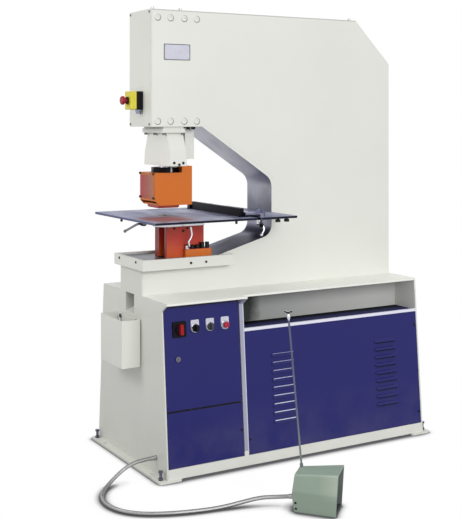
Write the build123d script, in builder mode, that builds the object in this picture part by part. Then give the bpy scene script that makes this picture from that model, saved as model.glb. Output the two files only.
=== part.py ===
"""Deep-throat hydraulic punch press on a cabinet base, with its foot pedal. Millimetres.

+X runs from the punch end to the back, -Y is the operator's long side with the doors, +Z is up.
The origin is on the floor, at the centre of the four anchor holes in the foot plates.
"""
from build123d import *
import math
import os

os.makedirs("parts", exist_ok=True)

# Overall machine
overall_height = 2050
base_length = 1410
base_height = 760
base_top_width = 624
base_foot_width = 744
foot_thickness = 10

# Plates of the frame and the base
frame_width = 226
frame_plate = 25
skin_plate = 16
cover_plate = 6
end_plate = 7
top_plate = 10
sheet = 3

# Head, throat and frame outline
punch_inset = 175
head_front = 129
head_rear = 134
head_bottom = 1518
throat_depth = 514
throat_low = 1001
throat_upper_angle = 33.8
throat_lower_angle = 15.5
throat_upper_radius = 70
throat_lower_radius = 60
chamfer_length = 212
chamfer_drop = 213

# Cylinder, ram and punch
cylinder_bore = 136
bore_height = 197
rod_diameter = 60
piston_height = 60
seal_height = 6
seal_depth = 4
stroke = 80
running_clearance = 0.05
seat_clearance = 0.3
nut_diameter = 130
nut_height = 50
nut_gap = 9
nut_lip = 8
nut_slot = 8
punch_shank = 36
punch_tip = 22
punch_head = 12
work_gap = 59

# Ram housing, its flange and the spacer over the flange
flange_ahead = 66
flange_behind = 48
flange_width = 220
flange_thickness = 20
spacer_height = 8
spacer_inset = 6
housing_depth = 84
housing_drop = 151
housing_knee = 82
housing_top_half = 96
housing_knee_half = 129
housing_bottom_half = 139

# Stripper
stripper_up = 20
stripper_down = 25
guard_width = 170
guard_side = 8
guard_web = 24
guard_front = 90
guard_rear = 96
guard_step = 44
guard_step_rise = 30
guard_top_drop = 211
guard_lift = 52
guard_bevel = 5
strip_ahead = 63
strip_behind = 43
strip_width = 116
strip_lift = 38
stripper_rod = 16
stripper_rod_pitch = 50
window_plate = 4
window_width = 148
window_height = 117
window_border = 16
bracket_height = 150

# Bed, die holder, die and table
bed_top = 915
bed_plate_thickness = 20
bed_width = 288
rim_thickness = 14
rim_low = 876
rim_high = 925
holder_height = 141
holder_width = 124
holder_length = 194
holder_ahead = 24
holder_foot_width = 176
holder_foot_height = 37
slot_near = 40
slot_far = 17
slot_behind = 34
bolster_thickness = 25
bolster_radius = 60
bolster_tail = 175
die_diameter = 64
die_relief = 28
die_clearance = 0.4
table_top = 1106
table_thickness = 10
table_width = 660
table_ahead = 214
table_overlap = 6
fence_height = 38
fence_length = 476
fence_set_back = 263
fence_thickness = 20
carriage_height = 22
slot_width = 13
stud_diameter = 12

# Base front
lip_overhang = 43
lip_flare = 38
post_x = -307
post_width = 22
rail_height = 54
door_top = 741
door_bottom = 293
panel_recess = 2
recess_floor = 606
recess_lip_top = 611
recess_lip_bottom = 598
recess_depth = 145
louvre_length = 135
louvre_pitch = 37.2
louvre_count = 9
louvre_spread = 591
louvre_top = 484
hinge_pin = 6
control_height = 639

# Slug outlet and bin
outlet_width = 90
outlet_shift = 10
outlet_low = 674
outlet_high = 758
chute_slope = 25
chute_reach = 40
bin_depth = 94
bin_width = 240
bin_shift = 10
bin_low = 444
bin_high = 656
bin_lift = 26
bin_gap = 4
peg_diameter = 8
peg_head = 20
peg_pitch = 168

# Foot plates
foot_reach = 38
foot_length = 109
foot_width = 756
anchor_hole = 18
anchor_pitch = 500
level_pitch = 690
level_bolt = 12
level_nut = 19
level_height = 50
foot_round = 12

# Foot pedal and conduit
pedal_x = -326
pedal_y = -928
pedal_turn = -46
pedal_back_width = 110
pedal_mouth_width = 140
pedal_base_height = 8
pedal_wall = 4
pivot_diameter = 8
conduit_diameter = 16
gland_y = -263
gland_z = 81
gland_length = 27
connector_z = 45

# Places worked out from the sizes above
half_length = base_length / 2
punch_x = punch_inset - half_length
head_x = punch_x - head_front
throat_top_x = punch_x + head_rear
throat_x = punch_x + throat_depth
half_frame = frame_width / 2
inside_frame = half_frame - frame_plate
bed_seat = bed_top - bed_plate_thickness
holder_top = bed_top + holder_height
bolster_top = holder_top + bolster_thickness
table_under = table_top - table_thickness
lean = (base_foot_width - base_top_width) / 2 / (base_height - foot_thickness)
lean_angle = math.degrees(math.atan(lean))
plate_under = base_height - top_plate
flare_low = base_height - lip_flare
inner_end = half_length - end_plate
post_left = post_x - post_width / 2
post_right = post_x + post_width / 2
panel_near = panel_recess + sheet


def save(builder, name):
    """Label a finished piece and write it to its own file."""
    builder.part.label = name
    export_step(builder.part, f"parts/{name}.step")


def block(x0, x1, y0, y1, z0, z1, mode=Mode.ADD):
    """A box between two corners."""
    with Locations(((x0 + x1) / 2, (y0 + y1) / 2, (z0 + z1) / 2)):
        Box(x1 - x0, y1 - y0, z1 - z0, mode=mode)


def turned(origin, direction, sections, mode=Mode.ADD):
    """Coaxial cylinders from one origin: (start, end, diameter) along the direction."""
    axis = Plane(origin=origin, z_dir=direction)
    for start, end, diameter in sections:
        with BuildSketch(axis.offset(start)) as section:
            Circle(diameter / 2)
        extrude(section.sketch, amount=end - start, mode=mode)


def drill(origin, direction, start, end, diameter):
    """A round hole from one depth to another along a direction."""
    turned(origin, direction, [(start, end, diameter)], Mode.SUBTRACT)


def hexagon(origin, direction, start, end, across, mode=Mode.ADD):
    """A hexagonal prism, such as a nut or a socket, across its flats."""
    with BuildSketch(Plane(origin=origin, z_dir=direction).offset(start)) as section:
        RegularPolygon(across / 2, 6, major_radius=False)
    extrude(section.sketch, amount=end - start, mode=mode)


def prism_x(points, x0, x1, mode=Mode.ADD):
    """A YZ outline carried along X."""
    with BuildSketch(Plane.YZ.offset(x0)) as outline:
        Polygon(*points, align=None)
    extrude(outline.sketch, amount=x1 - x0, mode=mode, dir=(1, 0, 0))


def prism_y(points, y0, y1, mode=Mode.ADD):
    """An XZ outline carried along Y."""
    with BuildSketch(Plane.XZ.offset(-y1)) as outline:
        Polygon(*points, align=None)
    extrude(outline.sketch, amount=y1 - y0, mode=mode, dir=(0, -1, 0))


def bent_rod(points, radii, diameter):
    """A round rod along straight runs joined by arcs."""
    with BuildLine() as path:
        FilletPolyline(*points, radius=radii)
    with BuildSketch(Plane(origin=path.line @ 0, z_dir=path.line % 0)) as section:
        Circle(diameter / 2)
    sweep(section.sketch, path=path.line)


def front_y(z):
    """The leaning front face of the base at a height."""
    return -(base_top_width / 2 + (base_height - z) * lean)


def leaning_slab(z0, z1, near, far):
    """The YZ outline of a slab in the front face, between two depths square to it."""
    low, high = front_y(z0), front_y(z1)
    stretch = math.sqrt(1 + lean**2)
    near, far = near * stretch, far * stretch
    return [(low + near, z0), (high + near, z1), (high + far, z1), (low + far, z0)]


# The front face as a plane: X along it, Y up its slope, Z outward
face_up = Vector(0, math.sin(math.radians(lean_angle)), math.cos(math.radians(lean_angle)))
face_out = Vector(0, -math.cos(math.radians(lean_angle)), math.sin(math.radians(lean_angle)))


def on_front(x, z, depth=0.0):
    """A point on the front face at a height, or a depth behind it along its normal."""
    return Vector(x, front_y(z), z) - face_out * depth


def throat_line(offset, z_end):
    """The throat outline, set back into the steel by an offset."""
    upper, lower = math.radians(throat_upper_angle), math.radians(throat_lower_angle)
    rise = offset / math.cos(lower)
    return [
        (throat_top_x + offset / math.sin(upper), head_bottom),
        (
            throat_x + offset,
            head_bottom - (throat_depth - head_rear + offset) * math.tan(upper) + offset / math.cos(upper),
        ),
        (throat_x + offset, throat_low + offset * math.tan(lower) - rise),
        (throat_x + (z_end - throat_low + rise) / math.tan(lower), z_end),
    ]


throat_face = throat_line(0, bed_top)
throat_cut = throat_line(skin_plate, bed_seat)
face_radii = [throat_upper_radius, throat_lower_radius]
cut_radii = [radius + skin_plate for radius in face_radii]
shoulder_x = inner_end - chamfer_length
shoulder_z = overall_height - chamfer_drop
bed_end = throat_cut[3][0] - 2

# Head bolts: four along the head, in a row near its foot and one near its top
bolt_columns = [punch_x + step for step in (-96, -31, 39, 104)]
bolt_rows = [head_bottom + 26, overall_height - 36]
bolt_head = 27
bolt_head_height = 3
bolt_socket = 2
bolt_shank = 18
bolt_reach = 18
bolt_hole = bolt_shank + 2 * seat_clearance
head_bolt_spots = [(x, z) for x in bolt_columns for z in bolt_rows]

# Side plates of the C-frame, cut out round the throat and reaching down into the base
for name, side in (("front", -1), ("rear", 1)):
    with BuildPart() as frame_side:
        with BuildSketch(Plane.XZ.offset(-side * half_frame)):
            with BuildLine():
                FilletPolyline(*throat_cut, radius=cut_radii)
                Polyline(
                    throat_cut[3],
                    (-inner_end, bed_seat),
                    (-inner_end, foot_thickness),
                    (inner_end, foot_thickness),
                    (inner_end, shoulder_z),
                    (shoulder_x, overall_height),
                    (head_x + cover_plate, overall_height),
                    (head_x + cover_plate, head_bottom),
                    throat_cut[0],
                )
            make_face()
        extrude(amount=side * frame_plate)
        for x, z in head_bolt_spots:
            drill((x, side * half_frame, z), (0, -side, 0), -1, frame_plate + 1, bolt_hole)
    save(frame_side, f"frame_plate_{name}")

# Bare steel plate lining the throat, full frame width
with BuildPart() as throat_plate:
    with BuildSketch(Plane.XZ.offset(half_frame)):
        with BuildLine():
            FilletPolyline(*throat_face, radius=face_radii)
            Line(throat_face[3], throat_cut[3])
            FilletPolyline(*throat_cut, radius=cut_radii)
            Line(throat_cut[0], throat_face[0])
        make_face()
    extrude(amount=-frame_width)
save(throat_plate, "throat_plate")

# Plate between the side plates along the top, the sloping shoulder and the back
spine_turn = math.tan(math.atan2(chamfer_drop, chamfer_length) / 2)
spine_turn_back = math.tan(math.atan2(chamfer_length, chamfer_drop) / 2)
spine_outline = [
    (head_x + cover_plate, overall_height),
    (shoulder_x, overall_height),
    (inner_end, shoulder_z),
    (inner_end, base_height),
    (inner_end - skin_plate, base_height),
    (inner_end - skin_plate, shoulder_z - skin_plate * spine_turn_back),
    (shoulder_x - skin_plate * spine_turn, overall_height - skin_plate),
    (head_x + cover_plate, overall_height - skin_plate),
]
with BuildPart() as frame_spine_plate:
    prism_y(spine_outline, -inside_frame, inside_frame)
save(frame_spine_plate, "frame_spine_plate")

# Cover plate on the punch end of the head, with a screw in each corner
cover_inset = 12
screw_hole = 6.6
cover_screw_spots = [
    (y, z)
    for y in (cover_inset - half_frame, half_frame - cover_inset)
    for z in (head_bottom + cover_inset, overall_height - cover_inset)
]
with BuildPart() as head_end_cover:
    block(head_x, head_x + cover_plate, -half_frame, half_frame, head_bottom, overall_height)
    for y, z in cover_screw_spots:
        drill((head_x, y, z), (1, 0, 0), -1, cover_plate + 1, screw_hole)
save(head_end_cover, "head_end_cover")

# Cylinder block between the side plates, bored from below
block_front = head_x + cover_plate + 8
block_rear = throat_top_x - 14
bore_top = head_bottom + bore_height
with BuildPart() as cylinder_block:
    block(block_front, block_rear, -inside_frame, inside_frame, head_bottom, overall_height - skin_plate)
    drill((punch_x, 0, head_bottom), (0, 0, 1), -1, bore_height, cylinder_bore)
    for x, z in head_bolt_spots:
        for side in (-1, 1):
            spot = (x, side * inside_frame, z)
            drill(spot, (0, -side, 0), -1, bolt_reach + 2, bolt_hole)
save(cylinder_block, "cylinder_block")

# Ram housing: spacer and flange under the head, and a body that widens downward
housing_top = head_bottom - spacer_height - flange_thickness
housing_bottom = housing_top - housing_drop
flange_x0 = punch_x - flange_ahead
flange_x1 = punch_x + flange_behind
half_flange = flange_width / 2
flange_bolt = 10
flange_bolt_inset = 12
flange_bolt_y = half_flange - 16
flange_bolt_spots = [(flange_x0 + flange_bolt_inset, y) for y in (-flange_bolt_y, 0, flange_bolt_y)]
flange_screw = 6
flange_screw_spots = [(flange_x1 - 12, side * (half_flange - 5.5)) for side in (-1, 1)]
housing_screw = 8
housing_screw_spots = [
    (punch_x + step, housing_bottom + rise)
    for step, rise in ((-23, 15), (2, 6.5), (23, 14))
]
housing_outline = [
    (-housing_top_half, housing_top),
    (-housing_knee_half, housing_top - housing_knee),
    (-housing_bottom_half, housing_bottom),
    (housing_bottom_half, housing_bottom),
    (housing_knee_half, housing_top - housing_knee),
    (housing_top_half, housing_top),
]
housing_slope = (housing_bottom_half - housing_knee_half) / (housing_drop - housing_knee)


def housing_side(x, z, side):
    """A point on the sloping lower side of the ram housing."""
    return Vector(x, side * (housing_bottom_half - (z - housing_bottom) * housing_slope), z)


with BuildPart() as ram_housing:
    block(
        flange_x0 + spacer_inset,
        flange_x1 - spacer_inset,
        spacer_inset - half_flange,
        half_flange - spacer_inset,
        housing_top + flange_thickness,
        head_bottom,
    )
    block(flange_x0, flange_x1, -half_flange, half_flange, housing_top, housing_top + flange_thickness)
    prism_x(housing_outline, punch_x - housing_depth / 2, punch_x + housing_depth / 2)
    upright = ram_housing.edges().filter_by(Axis.Z)
    fillet(upright.filter_by(lambda edge: abs(edge.center().Y) > half_flange - 1), radius=3)
    turned(
        (punch_x, 0, housing_bottom),
        (0, 0, 1),
        [(-1, head_bottom - housing_bottom + 1, rod_diameter + 2 * running_clearance)],
        Mode.SUBTRACT,
    )
    for x, y in flange_bolt_spots:
        reach = flange_thickness + spacer_height
        drill((x, y, housing_top), (0, 0, 1), -1, reach + 1, flange_bolt + 0.6)
    for x, y in flange_screw_spots:
        drill((x, y, housing_top), (0, 0, 1), -1, flange_thickness, flange_screw + 0.6)
    for side in (-1, 1):
        out = Vector(0, side, housing_slope)
        for x, z in housing_screw_spots:
            drill(housing_side(x, z, side), -out, -2, 14, housing_screw + 0.6)
save(ram_housing, "ram_housing")

# Painted bolts of the head and of the flange
with BuildPart() as painted_bolts:
    for side in (-1, 1):
        for x, z in head_bolt_spots:
            spot = (x, side * half_frame, z)
            out = (0, side, 0)
            bolt = [(0, bolt_head_height, bolt_head), (-frame_plate - bolt_reach, 0, bolt_shank)]
            turned(spot, out, bolt)
            socket_floor = bolt_head_height - bolt_socket
            hexagon(spot, out, socket_floor, bolt_head_height + 1, 13, Mode.SUBTRACT)
    for x, y in flange_bolt_spots:
        turned(
            (x, y, housing_top),
            (0, 0, -1),
            [(0, 10, flange_bolt + 6), (1 - flange_thickness - spacer_height, 0, flange_bolt)],
        )
    for x, y in flange_screw_spots:
        screw = [(0, 7, flange_screw + 4), (1 - flange_thickness, 0, flange_screw)]
        turned((x, y, housing_top), (0, 0, -1), screw)
save(painted_bolts, "painted_bolts")

# Ram: piston and rod in one forging, with two seal grooves
piston_top = bore_top - 15
piston_low = piston_top - piston_height
nut_top = housing_bottom - nut_gap
nut_bottom = nut_top - nut_height
rod_end = nut_bottom + nut_lip + punch_head
piston_diameter = cylinder_bore - 2 * running_clearance
seal_levels = [piston_low + piston_height * share for share in (0.25, 0.65)]
with BuildPart() as ram:
    turned(
        (punch_x, 0, piston_low),
        (0, 0, 1),
        [(0, piston_height, piston_diameter), (rod_end - piston_low, 1, rod_diameter)],
    )
    for level in seal_levels:
        with BuildSketch(Plane.XY.offset(level)):
            with Locations((punch_x, 0)):
                Circle(cylinder_bore / 2 + 1)
                Circle(piston_diameter / 2 - seal_depth, mode=Mode.SUBTRACT)
        extrude(amount=seal_height, mode=Mode.SUBTRACT)
save(ram, "ram")

# Seal rings in the piston's grooves
with BuildPart() as piston_seals:
    for level in seal_levels:
        with BuildSketch(Plane.XY.offset(level + seat_clearance)):
            with Locations((punch_x, 0)):
                Circle(piston_diameter / 2)
                Circle(piston_diameter / 2 - seal_depth + seat_clearance, mode=Mode.SUBTRACT)
        extrude(amount=seal_height - 2 * seat_clearance)
save(piston_seals, "piston_seals")

# Coupling nut with spanner slots, holding the punch to the rod
with BuildPart() as coupling_nut:
    turned((punch_x, 0, nut_bottom), (0, 0, 1), [(0, nut_height, nut_diameter)])
    turned(
        (punch_x, 0, nut_bottom),
        (0, 0, 1),
        [(-1, nut_lip + 1, punch_shank + 1), (nut_lip, nut_height + 1, rod_diameter + 0.2)],
        Mode.SUBTRACT,
    )
    with Locations((punch_x, 0, nut_top - 11)):
        with PolarLocations(nut_diameter / 2, 4):
            Box(14, nut_slot, 22 + 1, mode=Mode.SUBTRACT)
save(coupling_nut, "coupling_nut")

# Stripper heights: the foot clears the work, the guard reaches up to the nut
strip_bottom = table_top + strip_lift
guard_bottom = table_top + guard_lift
guard_top = head_bottom - guard_top_drop
guard_back_top = guard_top + guard_step_rise
guard_x0 = punch_x - guard_front
guard_x1 = punch_x + guard_rear
web_x0 = guard_x1 - guard_web
half_guard = guard_width / 2
inside_guard = half_guard - guard_side

# Punch: head in the nut, shank, and a tip that enters the die
tip_z = table_top + work_gap
shank_end = guard_bottom + stripper_up + stroke + 4
with BuildPart() as punch:
    turned(
        (punch_x, 0, rod_end),
        (0, 0, -1),
        [
            (0, punch_head, rod_diameter - 4),
            (punch_head, rod_end - shank_end, punch_shank),
            (rod_end - shank_end, rod_end - tip_z, punch_tip),
        ],
    )
save(punch, "punch")

# White bracket under the head that the stripper's rods slide in
bracket_low = head_bottom - bracket_height
rod_x = guard_x1 - guard_web / 2
rod_spots = [(rod_x, side * stripper_rod_pitch / 2) for side in (-1, 1)]
rod_top = bracket_low + 112
with BuildPart() as stripper_bracket:
    block(rod_x - 12, block_rear + 1, -60, 60, bracket_low, head_bottom)
    fillet(stripper_bracket.edges().filter_by(Axis.Z), radius=4)
    for x, y in rod_spots:
        bore = stripper_rod + 2 * running_clearance
        drill((x, y, bracket_low), (0, 0, 1), -1, bracket_height - 8, bore)
save(stripper_bracket, "stripper_bracket")

# Orange guard of the stripper: two cheeks, a stepped back web, a floor, a top round the nut and a front
guard_chamfer = 20
guard_outline = [
    (guard_x0, guard_top),
    (punch_x + guard_step, guard_top),
    (punch_x + guard_step, guard_back_top),
    (guard_x1, guard_back_top),
    (guard_x1, guard_bottom),
    (guard_x0 + guard_chamfer, guard_bottom),
    (guard_x0, guard_bottom + guard_chamfer),
]
window_frame = 6
rod_grip = 40
front_low = guard_bottom + guard_chamfer
window_top = guard_top - 1
window_low = window_top - window_height
half_window = window_width / 2
window_screw_inset = 3.5
window_screw_spots = [
    (side * (half_window - window_screw_inset), z)
    for side in (-1, 1)
    for z in (window_low + window_screw_inset, window_top - window_screw_inset)
]
with BuildPart() as stripper_guard:
    for side in (-1, 1):
        near, far = sorted((side * inside_guard, side * half_guard))
        prism_y(guard_outline, near, far)
    block(web_x0, guard_x1, -inside_guard, inside_guard, guard_bottom, guard_back_top)
    block(guard_x0, guard_x0 + window_frame, -inside_guard, inside_guard, front_low, guard_top)
    block(guard_x0, web_x0, -inside_guard, inside_guard, guard_top - guard_side, guard_top)
    floor_x0 = guard_x0 + guard_chamfer
    block(floor_x0, web_x0, -inside_guard, inside_guard, guard_bottom, guard_bottom + guard_side)
    upright = stripper_guard.edges().filter_by(Axis.Z).group_by(Axis.X)[0]
    chamfer(upright.filter_by(lambda edge: abs(edge.center().Y) > half_guard - 1), length=guard_bevel)
    drill((punch_x, 0, guard_top), (0, 0, -1), -1, guard_side + 1, nut_diameter + 8)
    drill((punch_x, 0, guard_bottom), (0, 0, 1), -1, guard_side + 1, punch_shank + 4)
    block(
        guard_x0 - 1,
        guard_x0 + window_frame + 1,
        window_border - half_window,
        half_window - window_border,
        window_low + window_border,
        window_top - window_border,
        Mode.SUBTRACT,
    )
    for x, y in rod_spots:
        drill((x, y, guard_back_top), (0, 0, -1), -1, rod_grip, stripper_rod + 0.2)
    for y, z in window_screw_spots:
        drill((guard_x0, y, z), (1, 0, 0), -1, 12, 5.4)
save(stripper_guard, "stripper_guard")

# Stripper foot with the hole that the punch passes
with BuildPart() as stripper_foot:
    block(
        punch_x - strip_ahead,
        punch_x + strip_behind,
        -strip_width / 2,
        strip_width / 2,
        strip_bottom,
        guard_bottom,
    )
    chamfer(stripper_foot.edges().group_by(Axis.Z)[0], length=5)
    drill((punch_x, 0, strip_bottom), (0, 0, 1), -1, guard_bottom - strip_bottom + 1, punch_tip + 4)
save(stripper_foot, "stripper_foot")

# Amber window plate over the guard's front opening
with BuildPart() as guard_window:
    block(guard_x0 - window_plate, guard_x0, -half_window, half_window, window_low, window_top)
    fillet(guard_window.edges().filter_by(Axis.X), radius=5)
    for y, z in window_screw_spots:
        drill((guard_x0, y, z), (-1, 0, 0), -1, window_plate + 1, 5.4)
save(guard_window, "guard_window")

# Guide rods of the stripper and the screws of its window
with BuildPart() as stripper_fixings:
    for x, y in rod_spots:
        turned((x, y, guard_back_top), (0, 0, 1), [(-rod_grip, rod_top - guard_back_top, stripper_rod)])
    for y, z in window_screw_spots:
        turned((guard_x0 - window_plate, y, z), (-1, 0, 0), [(0, 5, 11), (-window_plate - 10, 0, 5)])
save(stripper_fixings, "stripper_fixings")

# Steel bed plate on the lower arm, notched round the foot of the throat
half_bed = bed_width / 2
rim_end = throat_cut[3][0] + 85
bed_hole = 70
rim_side_x = [-half_length + step for step in (227, 305)]
rim_side_z = bed_seat + 4
rim_screw = 6
rim_screw_z = (rim_high + bed_seat) / 2
rim_front_y = [-85, 95]
with BuildPart() as bed_plate:
    block(-half_length, rim_end, -half_bed, half_bed, bed_seat, bed_top)
    block(
        bed_end,
        rim_end + 1,
        -half_frame - 0.5,
        half_frame + 0.5,
        bed_seat - 1,
        bed_top + 1,
        Mode.SUBTRACT,
    )
    drill((punch_x, 0, bed_seat), (0, 0, 1), -1, bed_plate_thickness + 1, bed_hole)
save(bed_plate, "bed_plate")

# White rim bars round the bed plate
with BuildPart() as bed_rim:
    half_rim = half_bed + rim_thickness
    block(-half_length - rim_thickness, -half_length, -half_rim, half_rim, rim_low, rim_high)
    for side in (-1, 1):
        near, far = sorted((side * half_bed, side * half_rim))
        block(-half_length, rim_end, near, far, rim_low, rim_high)
    fillet(bed_rim.edges().filter_by(Axis.Z).group_by(Axis.X)[0], radius=5)
    for y in rim_front_y:
        drill((-half_length, y, rim_screw_z), (-1, 0, 0), -1, rim_thickness + 1, screw_hole)
    for x in rim_side_x:
        for side in (-1, 1):
            drill((x, side * half_bed, rim_side_z), (0, side, 0), -1, rim_thickness + 1, screw_hole)
save(bed_rim, "bed_rim")

# Orange die holder: slotted tower, standing in the notch of a broad foot
holder_x0 = punch_x - holder_ahead
holder_x1 = holder_x0 + holder_length
foot_x0 = holder_x0 + 84
foot_x1 = bed_end + 8
foot_top = bed_top + holder_foot_height
holder_bolt = 12
holder_bolt_x = [foot_x0 + 16 + step * 26 for step in range(5)]
holder_bolt_y = (holder_width + holder_foot_width) / 4 + 1
holder_lever_x = holder_bolt_x[0]
holder_bolt_spots = [(x, holder_bolt_y) for x in holder_bolt_x]
holder_bolt_spots += [(x, -holder_bolt_y) for x in holder_bolt_x[1:]]
with BuildPart() as holder_foot:
    block(foot_x0, foot_x1, -holder_foot_width / 2, holder_foot_width / 2, bed_top, foot_top)
    half_notch = holder_width / 2 + seat_clearance
    notch_end = holder_x1 + seat_clearance
    block(holder_x0, notch_end, -half_notch, half_notch, bed_top - 1, foot_top + 1, Mode.SUBTRACT)
    for x, y in holder_bolt_spots:
        hole = [(-1, holder_foot_height - 4, holder_bolt + 0.6)]
        turned((x, y, foot_top), (0, 0, -1), hole, Mode.SUBTRACT)
with BuildPart() as die_holder:
    block(holder_x0, holder_x1, -holder_width / 2, holder_width / 2, bed_top, holder_top)
    fillet(die_holder.edges().filter_by(Axis.Z).group_by(Axis.X)[0], radius=4)
    block(
        holder_x0 - 1,
        punch_x + slot_behind,
        -slot_near,
        slot_far,
        bed_top - 1,
        holder_top + 1,
        Mode.SUBTRACT,
    )
    add(holder_foot.part)
save(die_holder, "die_holder")

# Bright bolster plate on the holder, with a round nose about the die
with BuildPart() as die_bolster:
    turned((punch_x, 0, holder_top), (0, 0, 1), [(0, bolster_thickness, 2 * bolster_radius)])
    block(punch_x, punch_x + bolster_tail, -bolster_radius, bolster_radius, holder_top, bolster_top)
    die_seat = die_diameter + 2 * running_clearance
    drill((punch_x, 0, holder_top), (0, 0, 1), -1, bolster_thickness + 1, die_seat)
save(die_bolster, "die_bolster")

# Round die, flush with the table
with BuildPart() as die:
    turned((punch_x, 0, holder_top), (0, 0, 1), [(0, table_top - holder_top, die_diameter)])
    turned(
        (punch_x, 0, table_top),
        (0, 0, -1),
        [(-1, 12, punch_tip + 2 * die_clearance), (10, table_top - holder_top + 1, die_relief)],
        Mode.SUBTRACT,
    )
save(die, "die")

# Work table with an opening round the die and two slots for the fence
table_x0 = punch_x - table_ahead
table_x1 = throat_x + table_overlap
table_clearance = 2
half_table = table_width / 2
fence_x = punch_x + fence_set_back
carriage_width = 26
carriage_y = fence_length / 2 + carriage_width / 2
carriage_x0 = fence_x - 8
carriage_x1 = carriage_x0 + 130
stud_x = carriage_x0 + 100
slide_back = 30
slide_ahead = 130
slot_x0 = stud_x - slide_ahead - slot_width
slot_x1 = stud_x + slide_back + slot_width
lever_stud = (table_x0 + 34, -150)
die_window = die_diameter + 2 * table_clearance
with BuildPart() as work_table:
    block(table_x0, table_x1, -half_table, half_table, table_under, table_top)
    fillet(work_table.edges().filter_by(Axis.Z), radius=6)
    drill((punch_x, 0, table_under), (0, 0, 1), -1, table_thickness + 1, die_window)
    notch = half_frame + table_clearance
    notch_x = throat_x - table_clearance
    block(notch_x, table_x1 + 1, -notch, notch, table_under - 1, table_top + 1, Mode.SUBTRACT)
    for side in (-1, 1):
        with BuildSketch(Plane.XY.offset(table_under - 1)):
            with Locations(((slot_x0 + slot_x1) / 2, side * carriage_y)):
                SlotOverall(slot_x1 - slot_x0, slot_width)
        extrude(amount=table_thickness + 2, mode=Mode.SUBTRACT)
save(work_table, "work_table")

# Black fence bar across the table
fence_low = table_top + seat_clearance
with BuildPart() as fence_bar:
    block(
        fence_x,
        fence_x + fence_thickness,
        -fence_length / 2,
        fence_length / 2,
        fence_low,
        table_top + fence_height,
    )
    fillet(fence_bar.edges().filter_by(Axis.Y), radius=2)
save(fence_bar, "fence_bar")

# Carriages at the fence's ends, each with a stud through its table slot. The front one also has an arm
# that carries a screw down past the table's edge.
hub_top = table_under - seat_clearance
hub_height = 12
hub_diameter = 26
clamp_height = 26
clamp_diameter = 22
carriage_top = table_top + carriage_height
carriage_undercut = 7
edge_screw = 10
edge_screw_step = 39
edge_screw_reach = 8
edge_screw_drop = 42
edge_arm = 18
stud_nut = 1.6 * stud_diameter
with BuildPart() as fence_carriages:
    for side in (-1, 1):
        near, far = sorted((side * fence_length / 2, side * (fence_length / 2 + carriage_width)))
        block(carriage_x0, carriage_x1, near, far, fence_low, carriage_top)
        edge, inner = sorted((side * carriage_y + side * carriage_width, side * (carriage_y + 4)))
        cut_x = (carriage_x0 + fence_thickness, carriage_x1 + 1)
        block(*cut_x, edge, inner, fence_low - 1, fence_low + carriage_undercut, Mode.SUBTRACT)
        stud_at = (stud_x, side * carriage_y, fence_low)
        turned(stud_at, (0, 0, -1), [(-1, fence_low - hub_top + clamp_height + 1, stud_diameter)])
        head_at = fence_low - hub_top + clamp_height + seat_clearance
        turned(stud_at, (0, 0, -1), [(head_at, head_at + 5, stud_diameter + 4)])
    nut_at = (stud_x, -carriage_y, carriage_top)
    hexagon(nut_at, (0, 0, 1), 0, 9, stud_nut)
    turned(nut_at, (0, 0, 1), [(0, 16, stud_diameter)])
    screw_at = (stud_x - edge_screw_step, -half_table - edge_screw_reach, fence_low)
    block(
        screw_at[0] - edge_arm / 2,
        screw_at[0] + edge_arm / 2,
        screw_at[1] - edge_arm / 2,
        1 - fence_length / 2 - carriage_width,
        fence_low + 2,
        fence_low + carriage_height - 6,
    )
    turned(screw_at, (0, 0, 1), [(-edge_screw_drop, 30, edge_screw)])
    turned(screw_at, (0, 0, 1), [(-edge_screw_drop, 16 - edge_screw_drop, 2 * edge_screw)])
    hexagon(screw_at, (0, 0, 1), carriage_height - 6, carriage_height + 3, edge_arm)
    rear_nut = (stud_x, carriage_y, hub_top)
    turned(rear_nut, (0, 0, -1), [(0, clamp_height + 1, clamp_diameter)])
save(fence_carriages, "fence_carriages")

# Curved bright clamp lever under the table, on the front carriage's stud
lever_rod = 10
lever_mid = hub_top - hub_height / 2
lever_bore = stud_diameter + 2 * running_clearance
with BuildPart() as fence_lever:
    clamp_low = hub_top - clamp_height + lever_rod / 2 + 1
    lever_path = [
        (stud_x + 1, -carriage_y - 8, clamp_low),
        (stud_x + 3, -carriage_y - 28, clamp_low - 2),
        (stud_x + 9, -carriage_y - 36, clamp_low - 28),
        (stud_x - 5, -carriage_y - 34, clamp_low - 52),
    ]
    bent_rod(lever_path, [11, 20], lever_rod)
    turned((stud_x, -carriage_y, hub_top), (0, 0, -1), [(0, clamp_height, clamp_diameter)])
    drill((stud_x, -carriage_y, hub_top), (0, 0, -1), -1, clamp_height + 1, lever_bore)
    with Locations(lever_path[-1]):
        Sphere(lever_rod / 2 + 2)
save(fence_lever, "fence_lever")

# Dark lever under the table's operator edge
with BuildPart() as table_lever:
    x, y = lever_stud
    arm_path = [
        (x - 8, y, lever_mid),
        (x - 34, y, lever_mid - 2),
        (x - 90, y + 5, lever_mid - 30),
    ]
    bent_rod(arm_path, [25], lever_rod)
    turned((x, y, hub_top), (0, 0, -1), [(0, hub_height, hub_diameter)])
    drill((x, y, hub_top), (0, 0, -1), -1, hub_height + 1, lever_bore)
    with Locations((arm_path[-1][0], arm_path[-1][1], arm_path[-1][2])):
        Sphere(lever_rod / 2 + 2, rotation=(0, 90, 0))
save(table_lever, "table_lever")

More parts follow.
